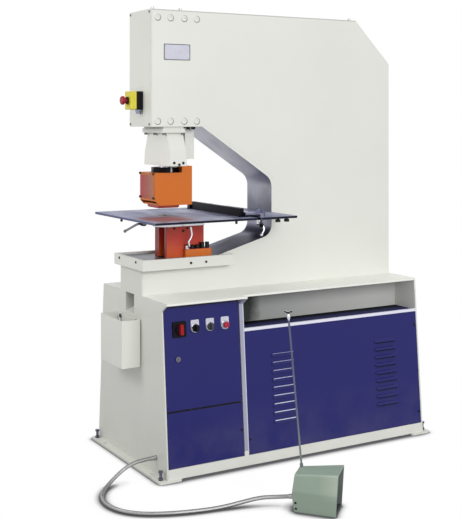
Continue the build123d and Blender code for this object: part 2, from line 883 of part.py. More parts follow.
# Bright bent lever on the die holder's foot
holder_hub = 16
holder_lever_y = -holder_bolt_y
holder_stud_top = foot_top + holder_hub + 6
with BuildPart() as holder_lever:
    x, y, z = holder_lever_x, holder_lever_y, foot_top + seat_clearance
    bend_path = [
        (x, y - 8, z + 8),
        (x, y - 22, z + 8),
        (x - 5, y - 24, z + 36),
        (x + 12, y - 25, z + 66),
        (x + 6, y - 23, z + 104),
    ]
    bent_rod(bend_path, [9, 16, 22], 9)
    turned((x, y, z), (0, 0, 1), [(0, holder_hub, 22)])
    drill((x, y, z), (0, 0, 1), -1, holder_hub + 1, lever_bore)
save(holder_lever, "holder_lever")

# Machine screws and small studs: cover, housing, rim, die holder, table, panels and bin pegs
spacer_spots = [(punch_x + dx, dy) for dx in (95, 150) for dy in (-42, 42)]
pin_spots = [
    (fence_x - 70, 5 - half_table),
    (table_x0 + 7, 32),
    (table_x0 + 7, -182),
    (fence_x - 70, half_table - 5),
]
knob_spots = [(throat_x - step, side * (half_table - 18)) for step in (92, 44) for side in (-1, 1)]
peg_z = bin_high - 14
peg_y = peg_pitch / 2
peg_collar = bin_gap - seat_clearance
peg_neck = bin_gap + sheet + seat_clearance
panel_screw_spots = [
    (post_left - 10, 170),
    (post_right + 10, 122),
    (inner_end - 10, 533),
    (inner_end - 10, 109),
]
panel_screw = 5
top_peg_x = [head_x + 14, head_x + 154, shoulder_x - 31]
top_peg_y = frame_plate / 2 - half_frame
with BuildPart() as machine_screws:
    for y, z in cover_screw_spots:
        turned((head_x, y, z), (-1, 0, 0), [(0, 3.5, 11), (-cover_plate, 0, 6)])
    for side in (-1, 1):
        out = Vector(0, side, housing_slope)
        for x, z in housing_screw_spots:
            turned(housing_side(x, z, side), out, [(0, 3, housing_screw + 4), (-12, 0, housing_screw)])
    for y in rim_front_y:
        turned(
            (-half_length - rim_thickness, y, rim_screw_z),
            (-1, 0, 0),
            [(0, 2.5, 11), (1 - rim_thickness, 0, rim_screw)],
        )
    for x in rim_side_x:
        for side in (-1, 1):
            spot = (x, side * (half_bed + rim_thickness), rim_side_z)
            turned(spot, (0, side, 0), [(0, 2.5, 11), (1 - rim_thickness, 0, rim_screw)])
    for x, y in holder_bolt_spots:
        head = 28 if x > holder_bolt_x[2] else 18
        turned((x, y, foot_top), (0, 0, 1), [(0, head, 20), (5 - holder_foot_height, 0, holder_bolt)])
        hexagon((x, y, foot_top), (0, 0, 1), head - 8, head + 1, 10, Mode.SUBTRACT)
    lever_post = (holder_lever_x, holder_lever_y, foot_top)
    turned(lever_post, (0, 0, 1), [(0, holder_hub + 2 * seat_clearance, stud_diameter)])
    turned(lever_post, (0, 0, 1), [(holder_hub + 2 * seat_clearance, holder_hub + 5, stud_diameter + 5)])
    for x, y in spacer_spots:
        turned((x, y, bolster_top), (0, 0, 1), [(0, table_under - bolster_top, 24)])
    for x, y in pin_spots:
        turned((x, y, table_under), (0, 0, -1), [(0, 12, 11)])
    for x, y in knob_spots:
        turned((x, y, table_under), (0, 0, -1), [(0, 4, 12), (4, 16, 24)])
    stud_drop = hub_height + 2 * seat_clearance
    turned(
        (*lever_stud, table_under),
        (0, 0, -1),
        [(0, stud_drop, stud_diameter), (stud_drop, stud_drop + 5, 18)],
    )
    for side in (-1, 1):
        turned(
            (-half_length, bin_shift + side * peg_y, peg_z),
            (-1, 0, 0),
            [(0, peg_collar, peg_head), (0, peg_neck, peg_diameter), (peg_neck, peg_neck + 5, peg_head)],
        )
    for x, z in panel_screw_spots:
        turned(on_front(x, z, panel_recess), face_out, [(0, 2.5, 11), (-sheet - 8, 0, panel_screw)])
    for x in top_peg_x:
        turned((x, top_peg_y, overall_height), (0, 0, 1), [(0, 10, 14)])
save(machine_screws, "machine_screws")

# Left end plate: trapezoid with a neck up to the bed, a flared corner, a door jamb,
# and the slug outlet with its welded chute
end_outline = [
    (front_y(foot_thickness), foot_thickness),
    (-front_y(foot_thickness), foot_thickness),
    (base_top_width / 2, base_height),
    (half_frame, base_height),
    (half_frame, bed_seat),
    (-half_frame, bed_seat),
    (-half_frame, base_height),
    (-base_top_width / 2 - lip_overhang, base_height),
    (-base_top_width / 2 - lip_overhang, plate_under),
    (front_y(flare_low), flare_low),
]
gland_neck = 16
outlet_y0 = outlet_shift - outlet_width / 2
outlet_y1 = outlet_shift + outlet_width / 2
chute_x1 = punch_x + chute_reach
chute_rise = (chute_x1 + inner_end) * math.tan(math.radians(chute_slope))
with BuildPart() as left_end_plate:
    prism_x(end_outline, -half_length, -inner_end)
    prism_x(leaning_slab(rail_height, plate_under, 24, 29), -inner_end, 22 - inner_end)
    block(-half_length - 1, 1 - inner_end, outlet_y0, outlet_y1, outlet_low, outlet_high, Mode.SUBTRACT)
    chute_floor = [
        (-inner_end, outlet_low - sheet),
        (-inner_end, outlet_low),
        (chute_x1, outlet_low + chute_rise),
        (chute_x1, outlet_low + chute_rise - sheet),
    ]
    prism_y(chute_floor, outlet_y0 - sheet, outlet_y1 + sheet)
    chute_cheek = [
        (-inner_end, outlet_low - sheet),
        (-inner_end, outlet_high),
        (chute_x1, outlet_high + chute_rise / 2),
        (chute_x1, outlet_low + chute_rise - sheet),
    ]
    prism_y(chute_cheek, outlet_y0 - sheet, outlet_y0)
    prism_y(chute_cheek, outlet_y1, outlet_y1 + sheet)
    drill((-half_length, gland_y, gland_z), (1, 0, 0), -1, end_plate + 1, gland_neck + 0.6)
save(left_end_plate, "left_end_plate")

# Right end plate: plain trapezoid
with BuildPart() as right_end_plate:
    right_outline = [
        (front_y(foot_thickness), foot_thickness),
        (-front_y(foot_thickness), foot_thickness),
        (base_top_width / 2, base_height),
        (-base_top_width / 2, base_height),
    ]
    prism_x(right_outline, inner_end, half_length)
save(right_end_plate, "right_end_plate")

# Top plates on both sides of the frame; the front one reaches out over the electrical door
with BuildPart() as base_top_plates:
    for side in (-1, 1):
        near, far = sorted((side * half_frame, side * base_top_width / 2))
        block(-inner_end, inner_end, near, far, plate_under, base_height)
    lip_y = -base_top_width / 2 - lip_overhang
    block(-inner_end, post_right, lip_y, -base_top_width / 2, plate_under, base_height)
save(base_top_plates, "base_top_plates")

# Centre post with its flared top, bottom rail, and the door's two hinge lugs with their pins
hinge_x = post_left - 10.5
hinge_depth = 10
lug_reach = 20
lug_gap = 3.5
lug_thickness = 4
pin_reach = 14
hinge_low = on_front(hinge_x, door_bottom, hinge_depth)
hinge_high = on_front(hinge_x, door_top, hinge_depth)
with BuildPart() as front_rail:
    post_outline = [
        (front_y(rail_height - 8), rail_height - 8),
        (front_y(flare_low), flare_low),
        (-base_top_width / 2 - lip_overhang, plate_under),
        (30 - base_top_width / 2, plate_under),
        (front_y(rail_height - 8) + 30, rail_height - 8),
    ]
    prism_x(post_outline, post_left, post_right)
    prism_x(leaning_slab(foot_thickness, rail_height, 0, 12), -inner_end, inner_end)
    for z0 in (door_top + lug_gap, door_bottom - lug_gap - lug_thickness):
        lug = leaning_slab(z0, z0 + lug_thickness, panel_near + 1, 20)
        prism_x(lug, post_left - lug_reach, post_left)
    turned(hinge_high, face_up, [(-pin_reach, lug_gap + 2, hinge_pin)])
    turned(hinge_low, face_up, [(-lug_gap - 2, pin_reach, hinge_pin)])
save(front_rail, "front_rail")

# Tool recess above the louvred panel: lip, floor and back wall
recess_back = -base_top_width / 2 + recess_depth
with BuildPart() as recess_shelf:
    prism_x(leaning_slab(recess_lip_bottom, recess_lip_top, 0, 12), post_right, inner_end)
    shelf_outline = [
        (front_y(recess_floor) + 11, recess_floor),
        (recess_back, recess_floor),
        (recess_back, plate_under),
        (recess_back + sheet, plate_under),
        (recess_back + sheet, recess_floor - sheet),
        (front_y(recess_floor) + 11, recess_floor - sheet),
    ]
    prism_x(shelf_outline, post_right, inner_end)
save(recess_shelf, "recess_shelf")

# One pressed louvre: X along it, Y up the panel, Z outward, open at its lower edge, sloping ends
louvre_height = 15
louvre_bulge = 8
louvre_lip = 2
louvre_slot = 6
louvre_end = 9
with BuildPart() as louvre:
    with BuildSketch(Plane.YZ):
        with BuildLine():
            ThreePointArc((0, 0), (-0.55 * louvre_height, 0.8 * louvre_bulge), (-louvre_height, louvre_bulge))
            Polyline(
                (-louvre_height, louvre_bulge),
                (-louvre_height, louvre_bulge - louvre_lip),
                (louvre_slot + louvre_lip - louvre_height, -1),
                (0, -1),
                (0, 0),
            )
        make_face()
    extrude(amount=louvre_length)
    for end, turn in ((0, 1), (louvre_length, -1)):
        with BuildSketch(Plane.XZ):
            Polygon(
                (end, 0),
                (end, 2 * louvre_bulge),
                (end + turn * 2 * louvre_end, 2 * louvre_bulge),
                align=None,
            )
        extrude(amount=2 * louvre_height, both=True, mode=Mode.SUBTRACT)

# Louvred panel: two columns of louvres, each over a slot
panel_x0 = post_right + 1
panel_x1 = inner_end - 1
panel_mid = (panel_x0 + panel_x1) / 2
louvre_spots = [
    (panel_mid + side * louvre_spread / 2 - louvre_length / 2, louvre_top - row * louvre_pitch)
    for side in (-1, 1)
    for row in range(louvre_count)
]
with BuildPart() as louvre_panel:
    prism_x(
        leaning_slab(rail_height + 1, recess_lip_bottom - 1, panel_recess, panel_near), panel_x0, panel_x1,
    )
    for x, z in louvre_spots:
        with Locations(Plane(origin=on_front(x, z, panel_recess), x_dir=(1, 0, 0), z_dir=face_out)):
            add(louvre.part)
        low = z - louvre_height
        slot = leaning_slab(low, low + louvre_slot, panel_recess - 1, panel_near + 1)
        prism_x(slot, x + louvre_end, x + louvre_length - louvre_end, Mode.SUBTRACT)
    for x, z in panel_screw_spots:
        if x > post_x:
            hole = [(-1, sheet + 1, panel_screw + 0.6)]
            turned(on_front(x, z, panel_recess), -face_out, hole, Mode.SUBTRACT)
save(louvre_panel, "louvre_panel")

# Lower panel under the electrical door
lower_top = door_bottom - 2
with BuildPart() as lower_panel:
    prism_x(
        leaning_slab(rail_height + 1, lower_top, panel_recess, panel_near), 2 - inner_end, post_left - 2,
    )
    for x, z in panel_screw_spots:
        if x < post_x:
            hole = [(-1, sheet + 1, panel_screw + 0.6)]
            turned(on_front(x, z, panel_recess), -face_out, hole, Mode.SUBTRACT)
save(lower_panel, "lower_panel")

# Rear panel closing the back of the base
with BuildPart() as rear_panel:
    rear_outline = [(-y, z) for y, z in leaning_slab(foot_thickness, plate_under, 0, sheet)]
    prism_x(rear_outline, -inner_end, inner_end)
save(rear_panel, "rear_panel")

# Electrical door: sheet with a stiffening frame behind it, holes for its controls and hinge pins
door_x0 = 2 - inner_end
door_x1 = post_left - 4.5
door_frame = 15
switch_x = punch_x - 93
control_x = [punch_x + step for step in (-15, 60, 136)]
lock_spot = (switch_x - 11, 513)
switch_height = control_height + 1
control_hole = 22.6
control_neck = 22
switch_neck = 29
lock_shaft = 16
with BuildPart() as electrical_door:
    prism_x(leaning_slab(door_bottom, door_top, panel_recess, panel_near), door_x0, door_x1)
    prism_x(leaning_slab(door_bottom, door_top, panel_near, panel_near + door_frame), door_x0, door_x1)
    inner_frame = leaning_slab(
        door_bottom + door_frame, door_top - door_frame, panel_near, panel_near + door_frame + 1,
    )
    prism_x(inner_frame, door_x0 + door_frame, door_x1 - door_frame, Mode.SUBTRACT)
    pin_bore = hinge_pin + 2 * running_clearance
    drill(hinge_high, face_up, -pin_reach - 2, 4, pin_bore)
    drill(hinge_low, face_up, -4, pin_reach + 2, pin_bore)
    for x in control_x:
        drill(on_front(x, control_height), -face_out, -1, panel_near + 1, control_hole)
    drill(on_front(switch_x, switch_height), -face_out, -1, panel_near + 1, switch_neck + 0.6)
    lock_bore = lock_shaft + 2 * running_clearance
    drill(on_front(*lock_spot), -face_out, -1, panel_near + 1, lock_bore)
save(electrical_door, "electrical_door")

# Control plates on the door: legend plates, bezels, switch plate, and the contact blocks behind
bezel_diameter = 38
bezel_height = 6
legend_width = 40
legend_rise = 35
legend_thickness = 1.5
knob_shaft = 12
knob_bore = knob_shaft + 2 * running_clearance
shaft_reach = 16
switch_plate = (65, 68)
switch_plate_thickness = 7
switch_shaft = 14
switch_bore = switch_shaft + 2 * running_clearance


def door_plane(x, z):
    """A sketch plane on the door's outer face, X across and Y up the slope."""
    return Plane(origin=on_front(x, z, panel_recess), x_dir=(1, 0, 0), z_dir=face_out)


with BuildPart() as control_plates:
    for x in control_x:
        seat = door_plane(x, control_height)
        with BuildSketch(seat) as legend:
            Circle(legend_width / 2)
            with Locations((0, legend_rise / 2)):
                Rectangle(legend_width, legend_rise)
            fillet(legend.vertices().group_by(Axis.Y)[-1], radius=4)
        extrude(amount=legend_thickness)
        turned(seat.origin, face_out, [(0, bezel_height, bezel_diameter), (-sheet - 3, 0, control_neck)])
        with BuildSketch(seat.offset(-sheet)):
            Rectangle(30, 44)
        extrude(amount=-36)
        drill(seat.origin, face_out, -shaft_reach - 1, bezel_height + 1, knob_bore)
    seat = door_plane(switch_x, switch_height)
    with BuildSketch(seat):
        RectangleRounded(*switch_plate, 4)
    extrude(amount=switch_plate_thickness)
    turned(seat.origin, face_out, [(-sheet - 3, 0, switch_neck)])
    with BuildSketch(seat.offset(-sheet)):
        Rectangle(58, 66)
    extrude(amount=-48)
    drill(seat.origin, face_out, -shaft_reach - 1, switch_plate_thickness + 1, switch_bore)
save(control_plates, "control_plates")

# Red handle of the main switch
with BuildPart() as main_switch_handle:
    seat = door_plane(switch_x, switch_height).offset(switch_plate_thickness + seat_clearance)
    turned(
        seat.origin, face_out, [(0, 9, 40), (-switch_plate_thickness - shaft_reach + 1, 0, switch_shaft)],
    )
    with BuildSketch(seat.offset(9)):
        RectangleRounded(15, 46, 5)
    extrude(amount=17)
    fillet(
        main_switch_handle.faces().filter_by(GeomType.PLANE).sort_by(lambda f: f.center().Y)[0].edges(),
        radius=2.5,
    )
save(main_switch_handle, "main_switch_handle")

# Two selector knobs, each a disc with a raised bar
for name, x in (("selector_black", control_x[0]), ("selector_grey", control_x[1])):
    with BuildPart() as selector:
        seat = door_plane(x, control_height).offset(bezel_height + seat_clearance)
        turned(seat.origin, face_out, [(0, 8, 32), (-bezel_height - shaft_reach + 1, 0, knob_shaft)])
        with BuildSketch(seat.offset(8)):
            RectangleRounded(11, 31, 3)
        extrude(amount=12)
    save(selector, name)

# Red push-button that travels into its bezel
button_travel = 4
with BuildPart() as stop_button:
    seat = door_plane(control_x[2], control_height).offset(bezel_height + button_travel + 1)
    turned(
        seat.origin, face_out, [(0, 10, 27), (-bezel_height - shaft_reach + button_travel, 0, knob_shaft)],
    )
    fillet(stop_button.edges().sort_by(lambda e: e.center().Y)[0], radius=2)
save(stop_button, "stop_button")

# Quarter-turn lock with a cam behind the door
with BuildPart() as door_lock:
    seat = door_plane(*lock_spot)
    cam_at = -sheet - seat_clearance
    turned(seat.origin, face_out, [(seat_clearance, 6, 23), (cam_at - 5, seat_clearance, lock_shaft)])
    with BuildSketch(seat.offset(cam_at)):
        with Locations((0, 8)):
            RectangleRounded(18, 34, 4)
    extrude(amount=-4)
    with BuildSketch(seat.offset(6)):
        Rectangle(3, 14)
    extrude(amount=-2.5, mode=Mode.SUBTRACT)
save(door_lock, "door_lock")

# Switchgear: mounting plate on the frame with relays and terminals
plate_y = -half_frame
with BuildPart() as switchgear:
    block(18 - inner_end, post_left - 20, plate_y - sheet, plate_y, 320, 720)
    rows = [(600, 90, 48, 5, 78), (460, 80, 54, 4, 70), (350, 40, 26, 9, 44)]
    for z0, height, pitch, count, depth in rows:
        for index in range(count):
            x0 = 50 - inner_end + index * pitch
            block(x0, x0 + pitch - 4, plate_y - sheet - depth, plate_y - sheet, z0, z0 + height)
save(switchgear, "switchgear")

# Motor with its foot against the frame, pump on the motor's end, and the oil tank behind
motor_diameter = 190
motor_length = 300
motor_x = 100
motor_z = 235
motor_y = plate_y - 12 - motor_diameter / 2
with BuildPart() as motor:
    turned(
        (motor_x, motor_y, motor_z),
        (1, 0, 0),
        [(0, motor_length, motor_diameter), (motor_length, motor_length + 40, 176)],
    )
    block(motor_x + 60, motor_x + 240, motor_y, plate_y, motor_z - 70, motor_z + 70)
    block(
        motor_x + 90,
        motor_x + 190,
        motor_y - 45,
        motor_y + 45,
        motor_z,
        motor_z + motor_diameter / 2 + 40,
    )
save(motor, "motor")

with BuildPart() as pump:
    turned((motor_x, motor_y, motor_z), (-1, 0, 0), [(0, 70, 150), (70, 85, 120)])
    block(motor_x - 190, motor_x - 85, motor_y - 48, motor_y + 48, motor_z - 48, motor_z + 48)
    turned((motor_x - 138, motor_y, motor_z + 48), (0, 0, 1), [(0, 30, 34)])
save(pump, "pump")

tank_wall = 4
tank_length = 1100
with BuildPart() as oil_tank:
    tank_y0, tank_y1 = half_frame, half_frame + 180
    block(-tank_length / 2, tank_length / 2, tank_y0, tank_y1, 60, 460)
    block(
        tank_wall - tank_length / 2,
        tank_length / 2 - tank_wall,
        tank_y0 + tank_wall,
        tank_y1 - tank_wall,
        60 + tank_wall,
        460 - tank_wall,
        Mode.SUBTRACT,
    )
    filler = (tank_length / 2 - 120, (tank_y0 + tank_y1) / 2, 460)
    turned(filler, (0, 0, 1), [(-1, 30, 60)])
    drill(filler, (0, 0, 1), -tank_wall - 1, 31, 48)
save(oil_tank, "oil_tank")

# Emergency-stop box on the head's end cover: black back, yellow cover, red mushroom
estop_z = 1638
estop_width = 66
estop_height = 84
estop_back = 33
estop_cover_depth = 28
estop_shaft = 22
estop_travel = 6
estop_neck = 27
estop_collar = 7
with BuildPart() as estop_box:
    block(
        head_x - estop_back,
        head_x,
        -estop_width / 2,
        estop_width / 2,
        estop_z - estop_height / 2,
        estop_z + estop_height / 2,
    )
    fillet(estop_box.edges().filter_by(Axis.X), radius=6)
    drill((head_x - estop_back, 0, estop_z), (1, 0, 0), -1, 20, estop_shaft + 1)
save(estop_box, "estop_box")

cover_x = head_x - estop_back - estop_cover_depth
with BuildPart() as estop_cover:
    block(
        cover_x,
        head_x - estop_back,
        -estop_width / 2,
        estop_width / 2,
        estop_z - estop_height / 2,
        estop_z + estop_height / 2,
    )
    fillet(estop_cover.edges().filter_by(Axis.X), radius=6)
    fillet(estop_cover.faces().sort_by(Axis.X)[0].edges(), radius=3)
    turned((cover_x, 0, estop_z), (-1, 0, 0), [(0, estop_collar, estop_neck + 7)])
    drill((cover_x, 0, estop_z), (-1, 0, 0), 0, estop_collar + 1, estop_neck + 2)
    drill((cover_x, 0, estop_z), (1, 0, 0), -1, estop_cover_depth + 1, estop_shaft + 1)
save(estop_cover, "estop_cover")

with BuildPart() as estop_button:
    turned(
        (cover_x, 0, estop_z),
        (-1, 0, 0),
        [
            (-estop_cover_depth - 8, estop_travel + 2, estop_shaft),
            (estop_travel + 2, estop_travel + 16, estop_neck),
            (estop_travel + 16, estop_travel + 28, 40),
        ],
    )
    fillet(estop_button.edges().group_by(Axis.X)[0], radius=6)
save(estop_button, "estop_button")

# Slug bin, open at the top, hung by two keyholes on the end plate's pegs
bin_x1 = -half_length - bin_gap
bin_x0 = -half_length - bin_depth
with BuildPart() as slug_bin:
    block(bin_x0, bin_x1, bin_shift - bin_width / 2, bin_shift + bin_width / 2, bin_low, bin_high)
    fillet(slug_bin.edges().filter_by(Axis.Z).group_by(Axis.X)[0], radius=5)
    block(
        bin_x0 + sheet,
        bin_x1 - sheet,
        bin_shift + sheet - bin_width / 2,
        bin_shift + bin_width / 2 - sheet,
        bin_low + sheet,
        bin_high + 1,
        Mode.SUBTRACT,
    )
    keyhole = peg_diameter + 2 * seat_clearance
    for side in (-1, 1):
        peg_at = (bin_x1, bin_shift + side * peg_y, peg_z)
        drill(peg_at, (-1, 0, 0), -1, sheet + 1, keyhole)
        neck_y0 = bin_shift + side * peg_y - keyhole / 2
        block(
            bin_x1 - sheet - 1,
            bin_x1 + 1,
            neck_y0,
            neck_y0 + keyhole,
            peg_z - bin_lift - 2,
            peg_z,
            Mode.SUBTRACT,
        )
        entry_at = (bin_x1, bin_shift + side * peg_y, peg_z - bin_lift - 6)
        drill(entry_at, (-1, 0, 0), -1, sheet + 1, peg_head + 1)
save(slug_bin, "slug_bin")

# Foot plates with anchor holes and levelling bolts, one plate under each end of the base
foot_x1 = half_length + foot_reach
anchor_x = half_length + foot_reach / 2
with BuildPart() as foot_plates:
    for side in (-1, 1):
        near, far = sorted((side * foot_x1, side * (foot_x1 - foot_length)))
        block(near, far, -foot_width / 2, foot_width / 2, 0, foot_thickness)
    fillet(foot_plates.edges().filter_by(Axis.Z), radius=foot_round)
    for side in (-1, 1):
        for pitch, diameter in ((anchor_pitch, anchor_hole), (level_pitch, level_bolt + 1)):
            for y in (-pitch / 2, pitch / 2):
                drill((side * anchor_x, y, 0), (0, 0, 1), -1, foot_thickness + 1, diameter)
save(foot_plates, "foot_plates")

with BuildPart() as levelling_bolts:
    for sx in (-1, 1):
        for sy in (-1, 1):
            spot = (sx * anchor_x, sy * level_pitch / 2, 0)
            turned(spot, (0, 0, 1), [(0, level_height, level_bolt)])
            hexagon(spot, (0, 0, 1), foot_thickness, foot_thickness + 10, level_nut)
            hexagon(spot, (0, 0, 1), level_height - 8, level_height, level_nut)
save(levelling_bolts, "levelling_bolts")

# Foot pedal frame: X towards the mouth, Y to the far side, Z up
turn = math.radians(pedal_turn)
pedal_along = Vector(math.cos(turn), math.sin(turn), 0)
pedal_far = Vector(-math.sin(turn), math.cos(turn), 0)
pedal_origin = Vector(pedal_x, pedal_y, 0)
pedal_floor = Plane(origin=pedal_origin, x_dir=pedal_along, z_dir=(0, 0, 1))
pedal_side = Plane(origin=pedal_origin, x_dir=pedal_along, z_dir=-pedal_far)
pedal_back_low = -76
pedal_back = -86
pedal_front = 93
hood_low = 2
hood_knee = 70
hood_top = 150
hood_rise = 16
hood_back_top = -74
hood_mouth = 103
hood_flare = (pedal_mouth_width - pedal_back_width) / 2 / (hood_mouth - hood_back_top)


def pedal_point(along, far, z):
    """A point in the pedal's own frame."""
    return pedal_origin + pedal_along * along + pedal_far * far + Vector(0, 0, z)


def hood_half(along):
    """Half the hood's width, which grows towards the mouth."""
    return pedal_back_width / 2 + (along - hood_back_top) * hood_flare


def hood_plan(start, end, inset):
    """The plan outline of the hood between two places, set in from its sides."""
    near, far = hood_half(start) - inset, hood_half(end) - inset
    return [(start, -near), (end, -far), (end, far), (start, near)]


# Space inside the pedal hood, open at the mouth and below
with BuildPart() as hood_space:
    with BuildSketch(pedal_side):
        Polygon(
            (pedal_back_low + pedal_wall, hood_low - 1),
            (pedal_back + pedal_wall, hood_knee - 1),
            (hood_back_top + pedal_wall - 1, hood_top - pedal_wall),
            (hood_mouth + 20, hood_top + hood_rise - pedal_wall + 1),
            (hood_mouth + 20, hood_low - 1),
            align=None,
        )
    extrude(amount=pedal_mouth_width, both=True)
    with BuildSketch(pedal_floor):
        Polygon(*hood_plan(pedal_back, hood_mouth + 20, pedal_wall), align=None)
    extrude(amount=2 * hood_top, mode=Mode.INTERSECT)

# Pedal hood: cast shell that widens towards its mouth
with BuildPart() as pedal_hood:
    with BuildSketch(pedal_side):
        Polygon(
            (pedal_back_low, hood_low),
            (pedal_back, hood_knee),
            (hood_back_top, hood_top),
            (hood_mouth, hood_top + hood_rise),
            (pedal_front, hood_low),
            align=None,
        )
    extrude(amount=pedal_mouth_width, both=True)
    with BuildSketch(pedal_floor):
        Polygon(*hood_plan(pedal_back - 1, hood_mouth + 1, 0), align=None)
    extrude(amount=2 * hood_top, mode=Mode.INTERSECT)
    long_edges = pedal_hood.edges().filter_by(lambda edge: abs((edge % 0.5).dot(pedal_along)) > 0.9)
    fillet(long_edges.group_by(Axis.Z)[-1], radius=8)
    add(hood_space.part, mode=Mode.SUBTRACT)
    back_lean = (pedal_back_low - pedal_back) / (hood_knee - hood_low)
    entry = pedal_point(pedal_back_low - (connector_z - hood_low) * back_lean, 0, connector_z)
    entry_out = (pedal_along + Vector(0, 0, back_lean)).normalized() * -1
    drill(entry, entry_out, -pedal_wall - 2, 1, gland_neck + 0.6)
save(pedal_hood, "pedal_hood")

# Pedal base inside the hood's skirt, with pivot lugs, the treadle's fixed pin and the switch body
pivot_along = -45
pivot_z = 28
lug_inner = 36
lug_outer = 44
with BuildPart() as pedal_base:
    base_gap = pedal_wall + seat_clearance
    base_plan = hood_plan(pedal_back_low + base_gap, pedal_front - 2, base_gap)
    with BuildSketch(pedal_floor):
        Polygon(*base_plan, align=None)
    extrude(amount=pedal_base_height)
    with BuildSketch(pedal_floor.offset(pedal_base_height)):
        with Locations(
            (pivot_along, (lug_inner + lug_outer) / 2), (pivot_along, -(lug_inner + lug_outer) / 2),
        ):
            Rectangle(20, lug_outer - lug_inner)
        with Locations((pedal_back_low + 14, 0)):
            Rectangle(14, 50)
    extrude(amount=pivot_z)
    turned(pedal_point(pivot_along, 0, pivot_z), pedal_far, [(-lug_outer, lug_outer, pivot_diameter)])
save(pedal_base, "pedal_base")

# Treadle on the pivot pin, rising towards the mouth
with BuildPart() as pedal_treadle:
    with BuildSketch(pedal_side):
        with Locations((pivot_along, pivot_z)):
            Circle(9)
        Polygon(
            (pivot_along, pivot_z + 3),
            (pivot_along, pivot_z + 9),
            (pedal_front - 12, pivot_z + 18),
            (pedal_front - 12, pivot_z + 12),
            align=None,
        )
    extrude(amount=lug_inner - 0.5, both=True)
    treadle_bore = pivot_diameter + 2 * running_clearance
    drill(pedal_point(pivot_along, 0, pivot_z), pedal_far, -lug_inner, lug_inner, treadle_bore)
save(pedal_treadle, "pedal_treadle")

# Carrying rod: boss on the hood, leaning rod, swelling grip and a handle with two raised arms
rod_along = -66
rod_far = 42
rod_slope = hood_rise / (hood_mouth - hood_back_top)
rod_foot = pedal_point(rod_along, rod_far, hood_top + (rod_along - hood_back_top) * rod_slope)
hood_normal = (pedal_along * -rod_slope + Vector(0, 0, 1)).normalized()
rod_lean = Vector(-0.1, 0.006, 1).normalized()
rod_length = 626
carry_diameter = 8
grip_length = 27
grip_half = 7
tee_arm = 16
with BuildPart() as carry_rod:
    turned(rod_foot, hood_normal, [(0, 12, 14)])
    rod_base = rod_foot + hood_normal * 4
    turned(rod_base, rod_lean, [(0, rod_length, carry_diameter)])
    grip_top = rod_base + rod_lean * (rod_length - 4)
    grip_plane = Plane(origin=grip_top, x_dir=(1, 0, -rod_lean.X / rod_lean.Z), z_dir=rod_lean)
    grip_plane = Plane(origin=grip_top, x_dir=grip_plane.x_dir, z_dir=-grip_plane.y_dir)
    with BuildSketch(grip_plane):
        with BuildLine():
            Line((0, 0), (0, -grip_length))
            Spline(
                (0, -grip_length),
                (grip_half - 1, -0.75 * grip_length),
                (grip_half, -0.5 * grip_length),
                (3, 0),
            )
            Line((3, 0), (0, 0))
        make_face()
    revolve(axis=Axis(grip_plane.origin, grip_plane.y_dir))
    tee = rod_base + rod_lean * rod_length
    for side in (-1, 1):
        arm = Vector(side * 0.86, side * -0.5, 0.42).normalized()
        turned(tee, arm, [(0, tee_arm, carry_diameter)])
save(carry_rod, "carry_rod")

# Glands and connectors of the conduit, and the small gland under the stop box
connector_length = 26
gland_body = 19
gland_hexagon = 21
stop_gland_inset = 16
with BuildPart() as cable_glands:
    base_gland = (-half_length, gland_y, gland_z)
    turned(base_gland, (-1, 0, 0), [(-end_plate, 0, gland_neck), (9, gland_length, gland_body)])
    hexagon(base_gland, (-1, 0, 0), 0, 9, gland_hexagon)
    turned(entry, entry_out, [(-pedal_wall, 0, gland_neck), (8, connector_length, gland_body)])
    hexagon(entry, entry_out, 0, 8, gland_hexagon)
    stop_gland = (head_x - estop_back / 2, stop_gland_inset - estop_width / 2, estop_z - estop_height / 2)
    hexagon(stop_gland, (0, 0, -1), 0, 7, 27)
    turned(stop_gland, (0, 0, -1), [(7, 19, 24)])
save(cable_glands, "cable_glands")

# Route of the conduit: out of the end plate, down to the floor, round to the pedal's back
conduit_rest = conduit_diameter / 2 + 1
conduit_end = entry + entry_out * connector_length
conduit_route = [
    Vector(-half_length - gland_length, gland_y, gland_z),
    Vector(-780, gland_y, gland_z),
    Vector(-840, -264, 68),
    Vector(-895, -270, 38),
    Vector(-951, -294, conduit_rest),
    Vector(-1008, -368, conduit_rest),
    Vector(-1036, -460, conduit_rest),
    Vector(-1024, -560, conduit_rest),
    Vector(-966, -638, conduit_rest),
    Vector(-874, -690, conduit_rest),
    Vector(-762, -726, conduit_rest),
    Vector(-655, -744, conduit_rest),
    Vector(-566, -760, 20),
    Vector(-496, -786, 34),
    conduit_end + entry_out * 42,
    conduit_end,
]
conduit_radii = []
for before, corner, after in zip(conduit_route, conduit_route[1:], conduit_route[2:]):
    bend = (corner - before).get_angle(after - corner)
    shorter = min((corner - before).length, (after - corner).length)
    conduit_radii.append(0.45 * shorter / math.tan(math.radians(bend) / 2))
print("conduit radii", [round(radius) for radius in conduit_radii])
with BuildPart() as pedal_cable:
    bent_rod(conduit_route, conduit_radii, conduit_diameter)
with BuildLine() as conduit_line:
    FilletPolyline(*conduit_route, radius=conduit_radii)
conduit_length = sum(edge.length for edge in conduit_line.edges())
section_volume = math.pi * conduit_diameter**2 / 4 * conduit_length
print(
    "conduit length",
    round(conduit_length, 1),
    "volume share",
    round(pedal_cable.part.volume / section_volume, 4),
)
save(pedal_cable, "pedal_cable")
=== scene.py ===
# %% [markdown]
# This script dresses a deep-throat hydraulic punch press: a tall C-frame on a cabinet base, with a
# work table, a stripper with an amber window, and a foot pedal on a metal conduit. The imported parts
# come in as a fixed frame, in metres, with the floor at zero. They are never moved here: they get
# finishes, and finer pieces are added around them.

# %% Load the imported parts
import math

